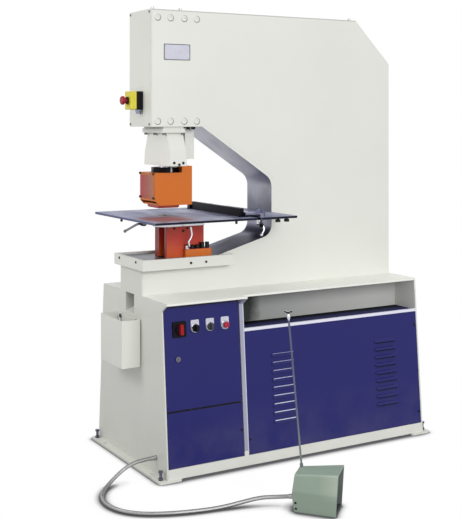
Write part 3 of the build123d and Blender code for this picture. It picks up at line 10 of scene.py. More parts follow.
import bmesh
import bpy
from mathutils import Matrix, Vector


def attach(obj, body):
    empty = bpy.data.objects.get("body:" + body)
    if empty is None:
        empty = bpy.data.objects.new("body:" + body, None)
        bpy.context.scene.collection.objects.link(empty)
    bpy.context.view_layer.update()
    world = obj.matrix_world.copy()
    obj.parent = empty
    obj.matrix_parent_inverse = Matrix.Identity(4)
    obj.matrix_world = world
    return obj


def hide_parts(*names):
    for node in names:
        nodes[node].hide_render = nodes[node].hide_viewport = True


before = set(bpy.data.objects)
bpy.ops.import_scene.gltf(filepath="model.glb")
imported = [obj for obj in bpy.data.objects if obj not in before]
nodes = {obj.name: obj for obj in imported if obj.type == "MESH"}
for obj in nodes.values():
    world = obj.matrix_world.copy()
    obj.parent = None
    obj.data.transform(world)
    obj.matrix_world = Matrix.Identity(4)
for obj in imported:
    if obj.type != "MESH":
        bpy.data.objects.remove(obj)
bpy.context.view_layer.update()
scene = bpy.context.scene
scene.view_settings.view_transform = "Standard"
MM = 0.001
RIGHT, LEFT = Vector((1, 0, 0)), Vector((-1, 0, 0))
FAR, NEAR = Vector((0, 1, 0)), Vector((0, -1, 0))
UP, DOWN = Vector((0, 0, 1)), Vector((0, 0, -1))


def at(x, y, z):
    """A point given in millimetres, in metres."""
    return Vector((x, y, z)) * MM


# %% [markdown]
# The camera stands where the photographer stood: level, at about three quarters of the machine's
# height, turned about thirty degrees off the long side. A level camera keeps uprights upright, so the
# picture is brought down to the floor with a lens shift, as an architect's camera would do.

# %% Camera
PICTURE_HEIGHT = 519
FOCAL_PIXELS = 1036.84
HORIZON_ROW = 119.8
CAMERA_AT = (-2.692, -4.3233, 1.5498)
VIEW_TURN = 30.2
SENSOR = 36.0

camera_data = bpy.data.cameras.new("photo_camera")
camera_data.sensor_width = SENSOR
camera_data.lens = FOCAL_PIXELS / PICTURE_HEIGHT * SENSOR
camera_data.shift_y = (HORIZON_ROW - PICTURE_HEIGHT / 2) / PICTURE_HEIGHT
camera_data.clip_end = 60.0
camera = bpy.data.objects.new("photo_camera", camera_data)
camera.location = CAMERA_AT
camera.rotation_euler = (math.pi / 2, 0.0, -math.radians(VIEW_TURN))
scene.collection.objects.link(camera)
scene.camera = camera
print("lens", round(camera_data.lens, 1), "mm, shift", round(camera_data.shift_y, 3))

# %% [markdown]
# The pedal's conduit leaves a gland low on the end plate, drops to the floor, lies in a wide bend and
# rises into the back of the pedal. It could be a chain of straight runs and arcs, but a metal hose never
# has such joints, so one smooth spline takes the solid's own route as its control points.

# %% Conduit line
CONDUIT_DIAMETER = 0.016
conduit_route = [
    (-732, -263, 81),
    (-780, -263, 81),
    (-840, -264, 68),
    (-895, -270, 38),
    (-951, -294, 9),
    (-1008, -368, 9),
    (-1036, -460, 9),
    (-1024, -560, 9),
    (-966, -638, 9),
    (-874, -690, 9),
    (-762, -726, 9),
    (-655, -744, 9),
    (-566, -760, 20),
    (-496, -786, 34),
    (-429.9, -820.4, 35.1),
    (-401.0, -850.3, 41.2),
]


def spline_curve(name, points, thickness):
    """A smooth round cord through control points given in millimetres."""
    curve = bpy.data.curves.new(name, "CURVE")
    curve.dimensions = "3D"
    curve.resolution_u = 8
    curve.bevel_depth = thickness / 2
    curve.bevel_resolution = 4
    line = curve.splines.new("NURBS")
    line.points.add(len(points) - 1)
    for control, (x, y, z) in zip(line.points, points):
        control.co = (x * MM, y * MM, z * MM, 1.0)
    line.order_u = 3
    line.use_endpoint_u = True
    piece = bpy.data.objects.new(name, curve)
    scene.collection.objects.link(piece)
    return piece


conduit = spline_curve("pedal_conduit", conduit_route, CONDUIT_DIAMETER)
print("conduit control points:", len(conduit_route))

# %% [markdown]
# Finishes are written as small graphs. A wrapped socket lets the arithmetic of a finish be read as
# arithmetic, and one method adds any other node, with its settings first and its sockets after.

# %% Graph helpers
class Sock:
    """One output in a graph. Arithmetic on it adds Math nodes."""

    def __init__(self, graph, socket):
        self.graph = graph
        self.socket = socket

    def math(self, operation, first, second):
        return self.graph.add("Math", {"operation": operation}, {0: first, 1: second})

    def __add__(self, other):
        return self.math("ADD", self, other)

    def __radd__(self, other):
        return self.math("ADD", other, self)

    def __sub__(self, other):
        return self.math("SUBTRACT", self, other)

    def __rsub__(self, other):
        return self.math("SUBTRACT", other, self)

    def __mul__(self, other):
        return self.math("MULTIPLY", self, other)

    def __rmul__(self, other):
        return self.math("MULTIPLY", other, self)


class Graph:
    """A shader node tree with one method that adds any node."""

    def __init__(self, tree):
        self.tree = tree

    def feed(self, node, sockets):
        for key, value in sockets.items():
            if isinstance(value, Sock):
                self.tree.links.new(value.socket, node.inputs[key])
            else:
                node.inputs[key].default_value = value

    def add(self, kind, settings=None, sockets=None, out=0):
        node = self.tree.nodes.new("ShaderNode" + kind)
        for key, value in (settings or {}).items():
            setattr(node, key, value)
        self.feed(node, sockets or {})
        return Sock(self, node.outputs[out])

    def seen(self):
        """One for rays that show the background: straight from the camera, mirrored, or through glass."""
        path = self.tree.nodes.new("ShaderNodeLightPath")
        rays = [Sock(self, path.outputs[f"Is {kind} Ray"]) for kind in ("Camera", "Glossy", "Transmission")]
        return self.add("Math", {"operation": "ADD", "use_clamp": True}, {0: rays[0] + rays[1], 1: rays[2]})


print("graph helpers ready")

# %% [markdown]
# A finish is a graph that ends in one Principled shader. Its methods are the few questions that a painter
# would ask of a spot: where does it lie, which way does it face, is it over or under an edge, is it a
# corner. Such answers could be painted into a texture, but read from the surface they stay sharp close up.

# %% Finishes as graphs
class Finish(Graph):
    """A material with one Principled shader, and the nodes that feed it."""

    def __init__(self, name):
        self.material = bpy.data.materials.new(name)
        self.material.use_nodes = True
        super().__init__(self.material.node_tree)
        self.tree.nodes.clear()
        self.output = self.tree.nodes.new("ShaderNodeOutputMaterial")
        self.shader = self.tree.nodes.new("ShaderNodeBsdfPrincipled")
        self.tree.links.new(self.shader.outputs[0], self.output.inputs[0])
        self.point = self.add("TexCoord", out="Object")

    def set(self, sockets):
        self.feed(self.shader, sockets)

    def along(self, axis):
        """Where a point lies on one axis."""
        return self.add("SeparateXYZ", None, {"Vector": self.point}, out=axis)

    def dot(self, first, second):
        return self.add("VectorMath", {"operation": "DOT_PRODUCT"}, {0: first, 1: second}, out="Value")

    def facing(self, direction):
        """How squarely the surface faces a direction, up to one."""
        return self.dot(self.add("NewGeometry", out="Normal"), direction)

    def noise(self, scale, detail=3.0, stretch=(1, 1, 1)):
        """A cloudy pattern, finer along an axis with a larger stretch."""
        place = self.add("Mapping", None, {"Vector": self.point, "Scale": stretch})
        return self.add("TexNoise", None, {"Vector": place, "Scale": scale, "Detail": detail})

    def span(self, value, low, high, bottom=0.0, top=1.0):
        """A value carried from one range to another, and held at its ends."""
        limits = {"Value": value, "From Min": low, "From Max": high, "To Min": bottom, "To Max": top}
        return self.add("MapRange", {"clamp": True}, limits)

    def over(self, value, edge, soft=0.0004):
        """One where a value is over an edge, nought where it is under."""
        return self.span(value, edge - soft, edge + soft)

    def under(self, value, edge, soft=0.0004):
        """One where a value is under an edge, nought where it is over."""
        return self.span(value, edge + soft, edge - soft)

    def within(self, value, low, high):
        return self.over(value, low) * self.under(value, high)

    def toward(self, direction, edge=0.7, soft=0.05):
        """One where the surface faces a direction."""
        return self.over(self.facing(direction), edge, soft)

    def most(self, first, second):
        return self.add("Math", {"operation": "MAXIMUM"}, {0: first, 1: second})

    def unsigned(self, value):
        return self.add("Math", {"operation": "ABSOLUTE"}, {0: value})

    def blend(self, factor, first, second):
        return self.add("Mix", {"data_type": "RGBA"}, {0: factor, 6: first, 7: second}, out=2)

    def tone(self, colour, factor, low, high):
        """A colour made darker or lighter over the surface."""
        grey = self.blend(factor, (low, low, low, 1.0), (high, high, high, 1.0))
        times = {"data_type": "RGBA", "blend_type": "MULTIPLY"}
        return self.add("Mix", times, {0: 1.0, 6: colour, 7: grey}, out=2)

    def rounded(self, radius):
        """The surface's direction as if its corners were rounded."""
        return self.add("Bevel", {"samples": 4}, {"Radius": radius})

    def edges(self, rounded):
        """One on corners, where the rounded direction leaves the flat one."""
        flat = self.add("NewGeometry", out="Normal")
        return self.span(self.dot(rounded, flat), 0.99, 0.8)

    def bump(self, height, strength, distance, normal):
        sockets = {"Strength": strength, "Distance": distance, "Height": height, "Normal": normal}
        return self.add("Bump", None, sockets)


print("finish class ready")

# %% [markdown]
# Colours are easiest to judge as display values from 0 to 255, as a colour card gives them. Shaders work in
# linear light, so one small function turns the first into the second.

# %% Colours
def tint(red, green, blue):
    """A display colour from 0 to 255 as the linear colour that shaders use."""
    def linear(value):
        share = value / 255
        return share / 12.92 if share <= 0.04045 else ((share + 0.055) / 1.055) ** 2.4
    return (linear(red), linear(green), linear(blue), 1.0)


print("white 255 is", tint(255, 255, 255)[:3])

# %% [markdown]
# Most of the machine is sprayed enamel. It could be one flat colour, but real enamel has a fine
# orange-peel surface, a little drift in tone, a trace of dust near the floor, and corners where the
# coat is thin. All four come from one function, so that every colour ages in the same way. A colour
# may also be given as a function of the finish, for parts that carry more than one.

# %% Enamels
PEEL = 0.10
PEEL_DEPTH = 0.0006
DUST_TOP = 0.30
DUST = tint(150, 142, 128)
PRIMER = tint(168, 168, 162)


def enamel(name, colour, gloss=0.40, thin=0.25, worn=PRIMER, shine=0.45, bevel=0.0022):
    """Sprayed enamel with orange peel, drifting tone, a little floor dust and thin corners."""
    coat = Finish(name)
    pure = colour(coat) if callable(colour) else colour
    base = coat.tone(pure, coat.span(coat.noise(2.3, 4.0), 0.3, 0.7), 0.97, 1.02)
    dust = coat.span(coat.along("Z"), DUST_TOP, 0.0) * coat.span(coat.noise(9.0, 5.0), 0.35, 0.75)
    dusty = coat.blend(dust * 0.12, base, DUST)
    soft = coat.rounded(bevel)
    bare = coat.edges(soft) * coat.span(coat.noise(24.0, 5.0), 0.50, 0.68)
    surface = coat.blend(bare * thin, dusty, worn)
    rough = gloss + dust * 0.15 + coat.span(coat.noise(14.0, 4.0), 0.35, 0.75, -0.04, 0.06)
    ripple = coat.bump(coat.noise(420.0, 2.0), PEEL, PEEL_DEPTH, soft)
    coat.set({"Base Color": surface, "Roughness": rough, "Normal": ripple, "Specular IOR Level": shine})
    return coat.material


CREAM = tint(226, 227, 220)
PALE_ORANGE, PALE_RED = tint(226, 160, 120), tint(226, 150, 130)
cream_enamel = enamel("cream_enamel", CREAM)
# A darker copy of the cream for the faces towards the punch end: painted shade.
shaded_end_enamel = enamel("shaded_end_cream_enamel", tint(218, 219, 212))
# A lighter copy of the cream for the base's top plates: painted light.
lit_top_enamel = enamel("lit_top_cream_enamel", tint(241, 242, 235))
orange_enamel = enamel("guard_orange_enamel", tint(208, 110, 34), gloss=0.34, worn=PALE_ORANGE, shine=0.3)
foot_enamel = enamel("stripper_red_enamel", tint(190, 72, 66), gloss=0.36, worn=PALE_RED)
motor_enamel = enamel("motor_grey_enamel", tint(112, 118, 126), gloss=0.45)
# Grey for the washers whose crescents beside the head bolts are painted shade.
crescent_shade_enamel = enamel("washer_crescent_shade_grey", tint(140, 141, 138))
print("enamels made")

# %% [markdown]
# Some enamelled parts carry two colours, and some carry painted light and shade. The cabinet's blue is
# painted dark along the door's lower joint and under the lip above it, a painted shade. The flange bolts
# are left dark among the painted bolts, so height tells them apart. The ram housing's end is painted paler
# than the cream and its sides a little darker, painted light and shade. The frame's top edge is grey. Each
# could be painted by hand, but a place or a direction says it shorter.

# %% Blue, bolt, housing and frame enamels
DOOR_RIGHT, DOOR_TOP = -0.31, 0.735
JOINT_HEIGHT, JOINT_HALF = 0.292, 0.0045
FLANGE_TOP = 1.50
FRAME_TOP = 2.0455


def blue_colours(coat):
    height = coat.along("Z")
    door = coat.under(coat.along("X"), DOOR_RIGHT) * coat.under(coat.along("Y"), 0.0)
    # The door's lower joint and the strip under the lip are painted dark: painted shade.
    joint = coat.under(coat.unsigned(height - JOINT_HEIGHT), JOINT_HALF)
    painted_shade = coat.most(joint, coat.over(height, DOOR_TOP, 0.002))
    return coat.blend(door * painted_shade, tint(31, 32, 102), tint(12, 12, 34))


def bolt_colours(coat):
    return coat.blend(coat.over(coat.along("Z"), FLANGE_TOP), tint(112, 113, 112), CREAM)


def housing_light_and_shade_colours(coat):
    # Painted light on the end that faces the punch end, and a little painted shade on the sides.
    return coat.blend(coat.toward(LEFT, 0.6, 0.1), tint(221, 222, 215), tint(235, 236, 229))


def frame_colours(coat):
    # Grey along the top edge.
    return coat.blend(coat.over(coat.along("Z"), FRAME_TOP, 0.001), CREAM, tint(186, 187, 182))


blue_enamel = enamel("cabinet_blue_enamel", blue_colours, gloss=0.36, worn=tint(70, 72, 130), shine=0.24)
bolt_enamel = enamel("bolt_enamel", bolt_colours, bevel=0.0005)
housing_light_and_shade_enamel = enamel("housing_light_and_shade_enamel", housing_light_and_shade_colours)
frame_enamel = enamel("frame_enamel", frame_colours)
print("made:", blue_enamel.name, bolt_enamel.name, housing_light_and_shade_enamel.name, frame_enamel.name)

# %% [markdown]
# Three more parts need a colour function of their own. The die holder is redder above and more orange low
# down and at its foot. Its face towards the punch end is painted darker, a painted shade, and its corners
# bright orange, partly wear and partly a painted highlight. The panel frame has a cooler coat above the
# bottom rail, with a painted highlight at the post's bend. The tool recess has grey back walls, darker
# towards the closed end and nearly black in that corner, a painted shade, and a paler end wall, a painted
# light. It has a pale lip, and a dark mat on its floor that is painted darker near the back wall, a painted
# shade.

# %% Holder, rail and recess enamels
HOLDER_FOOT_LEFT, HOLDER_FOOT_TOP = -0.470, 0.950
HOLDER_FADE = (1.03, 0.93)
POST_BEND_LEFT, POST_BEND_RIGHT = -0.2995, -0.290
RAIL_TOP = 0.075
RECESS_LIP = -0.3112
CLOSED_END_SHADE_FADE, BACK_WALL_SHADE_FADE, MAT_BACK_SHADE_FADE = (-0.085, -0.150), (-0.20, 0.55), (-0.20, -0.25)


def holder_colours(coat):
    height = coat.along("Z")
    foot = coat.over(coat.along("X"), HOLDER_FOOT_LEFT, 0.006) * coat.under(height, HOLDER_FOOT_TOP)
    low = coat.span(height + coat.noise(9.0, 3.0) * 0.06, *HOLDER_FADE)
    front = coat.blend(low * 0.6, tint(212, 62, 44), tint(222, 112, 40))
    # The face towards the punch end is darker: painted shade.
    body = coat.blend(coat.toward(LEFT) * 0.9, front, tint(128, 20, 16))
    return coat.blend(foot, body, tint(226, 120, 40))


def rail_colours(coat):
    along = coat.along("X")
    # Painted highlight at the post's bend.
    bend = coat.over(along, POST_BEND_LEFT, 0.002) * coat.under(along, POST_BEND_RIGHT)
    cool = coat.blend(bend, tint(162, 164, 184), tint(226, 226, 236))
    return coat.blend(coat.over(coat.along("Z"), RAIL_TOP), CREAM, cool)


def recess_colours(coat):
    along, depth = coat.along("X"), coat.along("Y")
    # Painted shade in the closed end of the recess, nearly black in the corner.
    closed_end_shade = coat.span(along + coat.noise(20.0, 3.0) * 0.05, *CLOSED_END_SHADE_FADE)
    # The back wall is grey and darker towards the closed end: painted shade.
    grey = coat.blend(coat.span(along, *BACK_WALL_SHADE_FADE), tint(160, 162, 160), tint(198, 199, 196))
    back = coat.blend(closed_end_shade * 0.9, grey, tint(30, 40, 32))
    # The end wall facing the punch end is painted paler: painted light.
    wall = coat.blend(coat.toward(LEFT), back, tint(236, 236, 230))
    # The mat is dark, and painted darker towards the back wall: painted shade.
    mat = coat.blend(coat.span(depth, *MAT_BACK_SHADE_FADE), tint(4, 4, 10), tint(58, 60, 104))
    inside = coat.blend(coat.toward(UP), wall, mat)
    return coat.blend(coat.over(depth, RECESS_LIP), tint(232, 232, 246), inside)


# The holder's bright orange corners are partly wear and partly a painted highlight.
holder_enamel = enamel("holder_enamel", holder_colours, gloss=0.34, worn=tint(236, 140, 60), thin=0.6)
rail_enamel = enamel("rail_enamel", rail_colours, gloss=0.34)
recess_enamel = enamel("recess_enamel", recess_colours, gloss=0.75, shine=0.06)
print("made:", holder_enamel.name, rail_enamel.name, recess_enamel.name)

# %% [markdown]
# The bare metals differ mainly in how they were finished. The throat lining keeps a bluish mill skin that
# darkens towards the bed, screws are blackened, levers are chromed. One function makes them all from a
# directional grain, light scratches and stains. It can also lay paint on one side, or a film of oil and
# marks that hides the metal.

# %% Bare metals
EVEN = (1, 1, 1)
SCRATCH_DEPTH = 0.0003
METAL_CORNER = 0.0015
GLINT = (1.0, 1.0, 1.0, 1.0)
DULL_GLINT = (0.60, 0.62, 0.70, 1.0)
THROAT_BEND, THROAT_FOOT = (1.36, 1.26), (1.10, 1.00)


def metal(
    name, colour, rough, grain=EVEN, scale=60.0, scratch=0.12, stain=0.0, painted=None, film=None, glint=GLINT
):
    """Bare metal with a directional grain, light scratches and stains, and paint or a film if asked."""
    bare = Finish(name)
    pure = colour(bare) if callable(colour) else colour
    lines = bare.noise(scale, 4.0, grain)
    cloud = bare.noise(5.0, 5.0)
    base = bare.tone(pure, bare.span(lines, 0.3, 0.7), 0.90, 1.08)
    marked = bare.tone(base, bare.span(cloud, 0.50, 0.74) * stain, 1.0, 0.5)
    soft = bare.rounded(METAL_CORNER)
    bright = bare.tone(marked, bare.edges(soft), 1.0, 1.25)
    shell = 1.0
    if painted is not None:
        side, coat = painted
        cover = bare.toward(side)
        bright = bare.blend(cover, bright, coat)
        shell = 1.0 - cover
    gloss = bare.span(lines, 0.25, 0.75, rough - 0.05, rough + 0.07)
    gloss = gloss + bare.span(cloud, 0.5, 0.8) * stain * 0.2
    if film is not None:
        dull = film(bare)
        shell = 1.0 - dull
        gloss = gloss + dull * 0.55
    relief = bare.bump(lines, scratch, SCRATCH_DEPTH, soft)
    bare.set({"Base Color": bright, "Metallic": shell, "Roughness": gloss})
    bare.set({"Normal": relief, "Specular Tint": glint})
    return bare.material


def throat_colours(bare):
    height = bare.along("Z")
    upper = bare.blend(bare.span(height, *THROAT_BEND), tint(176, 176, 186), tint(160, 161, 172))
    return bare.blend(bare.span(height, *THROAT_FOOT), upper, tint(146, 146, 166))


throat_steel = metal("throat_mill_steel", throat_colours, 0.40, (1, 14, 1), 22.0, 0.10, 0.6, (NEAR, CREAM))
bed_steel = metal("bed_planed_steel", tint(128, 130, 142), 0.34, (1, 20, 1), 30.0, 0.12, 0.5)
bright_steel = metal("ground_tool_steel", tint(205, 205, 210), 0.24, (1, 1, 24), 40.0, 0.06)
black_steel = metal("blackened_steel", tint(36, 36, 40), 0.40, EVEN, 90.0, 0.10)
zinc_plate = metal("zinc_plating", tint(172, 172, 172), 0.36, EVEN, 120.0, 0.10, 0.2)
dark_zinc = metal("dull_zinc", tint(104, 105, 112), 0.42, EVEN, 120.0, 0.10, 0.3)
bolt_zinc = metal("oiled_bolt_steel", tint(92, 94, 110), 0.22, EVEN, 120.0, 0.06, 0.4)
chrome = metal("polished_chrome", tint(214, 214, 220), 0.10, EVEN, 60.0, 0.02)
iron = metal("machined_iron", tint(96, 96, 98), 0.5, EVEN, 50.0, 0.2)
conduit_metal = metal("conduit_zinc_strip", tint(160, 160, 160), 0.42, EVEN, 160.0, 0.10, 0.3)
print("metals made")

# %% [markdown]
# Some bare parts aren't one metal all over. The table's top is ground, but oil and marks dull it, and a
# reddish painted reflection of the orange guard lies before the die. Its edges take a painted light and
# shade by the way they face: the near edge dark, the end edge lighter. The fence carriages are painted dark
# beside the bar and near the table, a painted shade, and lighter towards their left end, a painted
# reflection, with a dark clamp screw and a black pad. Where a point lies, or which way it faces, tells which
# it is.

# %% Table and carriage steels
REFLECTION_LEFT, REFLECTION_RIGHT = (-0.735, -0.69), (-0.47, -0.56)
REFLECTION_NEAR, REFLECTION_FAR = (-0.31, -0.24), (-0.02, -0.08)
CARRIAGE_REFLECTION_FADE = (-0.235, -0.195)
CLAMP_NEAR, PAD_TOP = -0.3285, 1.0805
ARM_LOW, ARM_HIGH = 1.1075, 1.1295
CARRIAGE_SHADE_TOP, CARRIAGE_SHADE_RIGHT = 1.1125, -0.252


def table_painted_reflection(bare):
    """A painted reflection of the orange guard: the reddish zone of the table's top, between the die and the
    operator.
    """
    along = bare.along("X")
    reach = bare.along("Y") + bare.noise(14.0, 3.0) * 0.08 - 0.04
    depth = bare.span(reach, *REFLECTION_FAR) * bare.span(reach, *REFLECTION_NEAR)
    return depth * bare.span(along, *REFLECTION_LEFT) * bare.span(along, *REFLECTION_RIGHT)


def table_film(bare):
    """How far oil and marks, and the painted reflection zone, hide the ground metal of the table."""
    marks = bare.span(bare.noise(5.0, 5.0, (3, 1, 1)), 0.38, 0.62, 0.30, 0.85)
    return bare.toward(UP, 0.5, 0.2) * bare.most(marks, table_painted_reflection(bare) * 0.95)


def table_colours(bare):
    worn = bare.span(bare.noise(4.0, 5.0, (2, 1, 1)), 0.36, 0.62)
    ground = bare.blend(worn, tint(130, 134, 162), tint(182, 185, 204))
    plate = bare.blend(table_painted_reflection(bare) * 0.85, ground, tint(142, 74, 66))
    # Edges take their colour from the way they face: painted light on the end edge, painted shade on the near
    # edge.
    side = bare.blend(bare.toward(LEFT, 0.5, 0.1), tint(40, 42, 54), tint(104, 106, 130))
    return bare.blend(bare.toward(UP, 0.5, 0.2), side, plate)


def carriage_colours(bare):
    along, height = bare.along("X"), bare.along("Z")
    clamp = bare.under(bare.along("Y"), CLAMP_NEAR, 0.001)
    pad = clamp * bare.under(height, PAD_TOP)
    arm = clamp * bare.within(height, ARM_LOW, ARM_HIGH)
    # Painted reflection: lighter towards the left end.
    main = bare.blend(bare.span(along, *CARRIAGE_REFLECTION_FADE), tint(190, 190, 206), tint(112, 114, 140))
    # Painted shade beside the bar and low near the table.
    painted_shade = bare.most(bare.under(height, CARRIAGE_SHADE_TOP), bare.under(along, CARRIAGE_SHADE_RIGHT, 0.002))
    plain = bare.blend(painted_shade, main, tint(24, 24, 30))
    screw = bare.blend(clamp, plain, tint(70, 72, 90))
    return bare.blend(pad, bare.blend(arm, screw, tint(130, 132, 150)), tint(24, 24, 28))


ground_by_length = {"grain": (18, 1, 1), "scale": 30.0, "scratch": 0.004, "stain": 0.15}
table_steel = metal(
    "table_ground_steel", table_colours, 0.20, film=table_film, glint=DULL_GLINT, **ground_by_length
)
carriage_steel = metal("carriage_ground_steel", carriage_colours, 0.22, (1, 1, 18), 40.0, 0.06, 0.4)
print("made:", table_steel.name, carriage_steel.name)

# %% [markdown]
# The small steel parts differ in the same way. The nut's spanner slots are bright. The carrying rod has a
# black tee that is painted bright on its upper faces, a painted highlight, and a polished grip. The stop
# box's gland is duller than the conduit's. The screws of the head cover are painted over, and the bin's pegs
# are zinc plated.

# %% Nut, rod, gland and screw steels
RAM_X = -0.530
NUT_SLOT_RADIUS = 0.0640
SHAFT_FADE, GRIP_LOW, TEE_LOW = (0.40, 0.20), 0.7465, 0.7715
GLANDS_APART = 1.0
COVER_LOW, COVER_RIGHT, TOP_SCREWS = 1.50, -0.640, 2.049
PEG_RIGHT, PEG_LOW, PEG_HIGH = -0.704, 0.60, 0.70


def nut_colours(bare):
    to_axis = {0: bare.point, 1: (1, 1, 0), 2: (-RAM_X, 0, 0)}
    flat = bare.add("VectorMath", {"operation": "MULTIPLY_ADD"}, to_axis)
    radius = bare.add("VectorMath", {"operation": "LENGTH"}, {0: flat}, out="Value")
    upright = bare.under(bare.unsigned(bare.facing(UP)), 0.5, 0.1)
    slot = bare.under(radius, NUT_SLOT_RADIUS) * upright
    return bare.blend(slot, tint(22, 22, 25), tint(214, 214, 210))


def rod_colours(bare):
    height = bare.along("Z")
    shaft = bare.blend(bare.span(height, *SHAFT_FADE), tint(100, 104, 126), tint(128, 134, 132))
    grip = bare.blend(bare.over(height, GRIP_LOW), shaft, tint(214, 214, 226))
    # Painted highlight on the tee's upper faces.
    tee_with_highlight = bare.blend(bare.toward(UP, 0.55, 0.2), tint(34, 34, 38), tint(206, 206, 212))
    return bare.blend(bare.over(height, TEE_LOW), grip, tee_with_highlight)


def gland_colours(bare):
    return bare.blend(bare.over(bare.along("Z"), GLANDS_APART), tint(172, 172, 172), tint(120, 121, 142))


def screw_colours(bare):
    along, height = bare.along("X"), bare.along("Z")
    cover = bare.over(height, COVER_LOW) * bare.under(along, COVER_RIGHT)
    peg = bare.under(along, PEG_RIGHT) * bare.within(height, PEG_LOW, PEG_HIGH)
    first = bare.blend(cover, tint(44, 43, 46), tint(150, 151, 150))
    second = bare.blend(bare.over(height, TOP_SCREWS), first, tint(176, 177, 174))
    return bare.blend(peg, second, tint(150, 154, 176))


gland_zinc = metal("gland_zinc_plating", gland_colours, 0.42, EVEN, 120.0, 0.10, 0.2)
nut_steel = metal("nut_steel", nut_colours, 0.40, EVEN, 90.0, 0.10)
rod_steel = metal("rod_steel", rod_colours, 0.26, (1, 1, 0.1), 90.0, 0.05)
screw_steel = metal("screw_steel", screw_colours, 0.40, EVEN, 90.0, 0.10)
print("made:", gland_zinc.name, nut_steel.name, rod_steel.name, screw_steel.name)

# %% [markdown]
# The front of the base leans back a little, and so do the door and everything on it. A place on it could be
# worked out each time, but one function that knows the slope is safer. A depth pushes the point inwards.

# %% Leaning front
FRONT_Y, FRONT_TOP, FRONT_SLOPE = 312, 760, 0.08
LEAN = math.atan(FRONT_SLOPE)
FACE_UP = Vector((0.0, math.sin(LEAN), math.cos(LEAN)))
FACE_OUT = Vector((0.0, -math.cos(LEAN), math.sin(LEAN)))


def on_front(x, z, depth=0.0):
    """A point on the leaning front of the base, given in millimetres, in metres."""
    return (Vector((x, -(FRONT_Y + (FRONT_TOP - z) * FRONT_SLOPE), z)) - FACE_OUT * depth) * MM


print("front leans", round(math.degrees(LEAN), 2), "degrees")

# %% [markdown]
# The controls are moulded plastic with a fine spark texture. The main switch is black with a red bar,
# and how far a point stands out from the leaning door tells bar from disc, and bezel from contact block.
# The stop box has a yellow cover with a dark collar, and its mushroom button is darker towards the stem.
# Both darks are partly the plastic's own colour and partly painted shade.

# %% Plastics
PLASTIC_CORNER, SPARK_DEPTH = 0.0012, 0.0002
DISC_SEAT, BEZEL_SEAT, BAR_RISE = 2, 2.5, 0.0168
FIRST_BEZEL_X = -0.585
COLLAR_X = -0.7206
STEM_DARK_AND_SHADE_FADE = (-0.743, -0.730)


def moulding(name, colour, rough=0.45, grain=0.12, shine=0.3):
    """Moulded plastic with a fine spark-eroded grain."""
    cast = Finish(name)
    pure = colour(cast) if callable(colour) else colour
    patch = cast.span(cast.noise(30.0, 3.0), 0.3, 0.7)
    surface = cast.tone(pure, patch, 0.93, 1.05)
    relief = cast.bump(cast.noise(1400.0, 1.0), grain, SPARK_DEPTH, cast.rounded(PLASTIC_CORNER))
    gloss = cast.span(patch, 0.0, 1.0, rough - 0.04, rough + 0.05)
    cast.set({"Base Color": surface, "Roughness": gloss, "Normal": relief, "Specular IOR Level": shine})
    return cast.material


def out_of_front(cast, depth, more=0.0):
    """One where a point stands out past a depth of the leaning front."""
    return cast.over(cast.dot(cast.point, FACE_OUT), on_front(0, 0, depth).dot(FACE_OUT) + more)


def switch_colours(cast):
    return cast.blend(out_of_front(cast, DISC_SEAT, BAR_RISE), tint(9, 8, 12), tint(160, 22, 34))


def plate_colours(cast):
    bezel = out_of_front(cast, BEZEL_SEAT) * cast.over(cast.along("X"), FIRST_BEZEL_X)
    return cast.blend(bezel, tint(9, 8, 13), tint(196, 197, 210))


def stop_colours(cast):
    # The dark collar is partly its own colour and partly painted shade.
    return cast.blend(cast.over(cast.along("X"), COLLAR_X), tint(36, 8, 16), tint(216, 203, 60))


def mushroom_colours(cast):
    # Darker towards the stem: partly its own colour and partly painted shade.
    return cast.blend(cast.span(cast.along("X"), *STEM_DARK_AND_SHADE_FADE), tint(150, 12, 34), tint(84, 8, 22))


black_plastic = moulding("black_moulding", tint(9, 8, 13), shine=0.14)
plate_plastic = moulding("control_plate_moulding", plate_colours, shine=0.12)
grey_plastic = moulding("dark_grey_moulding", tint(58, 60, 66))
red_plastic = moulding("red_moulding", tint(170, 30, 58), 0.36, 0.04)
mushroom_plastic = moulding("mushroom_moulding", mushroom_colours, 0.34, 0.04)
switch_plastic = moulding("switch_moulding", switch_colours, 0.34, 0.04, 0.16)
yellow_plastic = moulding("yellow_moulding", stop_colours, 0.38, 0.06)
pale_plastic = moulding("pale_grey_moulding", tint(196, 198, 196), 0.5, 0.08)
silver_paint = moulding("plate_silver", tint(206, 206, 220), 0.42, 0.03)
seal_rubber = moulding("seal_rubber", tint(30, 30, 30), 0.7, 0.2)
print("plastics made")

# %% [markdown]
# The window is a translucent amber sheet that looks almost crimson over the dark inside of the guard, and
# orange where the guard's own border lies close behind it. Across it the colour drifts from crimson on the
# far side to tan on the near side, a painted reflection. A glass shader could do it, but the sheet is so thin
# that a coloured surface with some alpha and fine scratches in its gloss reads the same.

# %% Window
BORDER_NEAR, BORDER_LOW = -0.057, 1.295
REFLECTION_FADE = (0.05, -0.05)


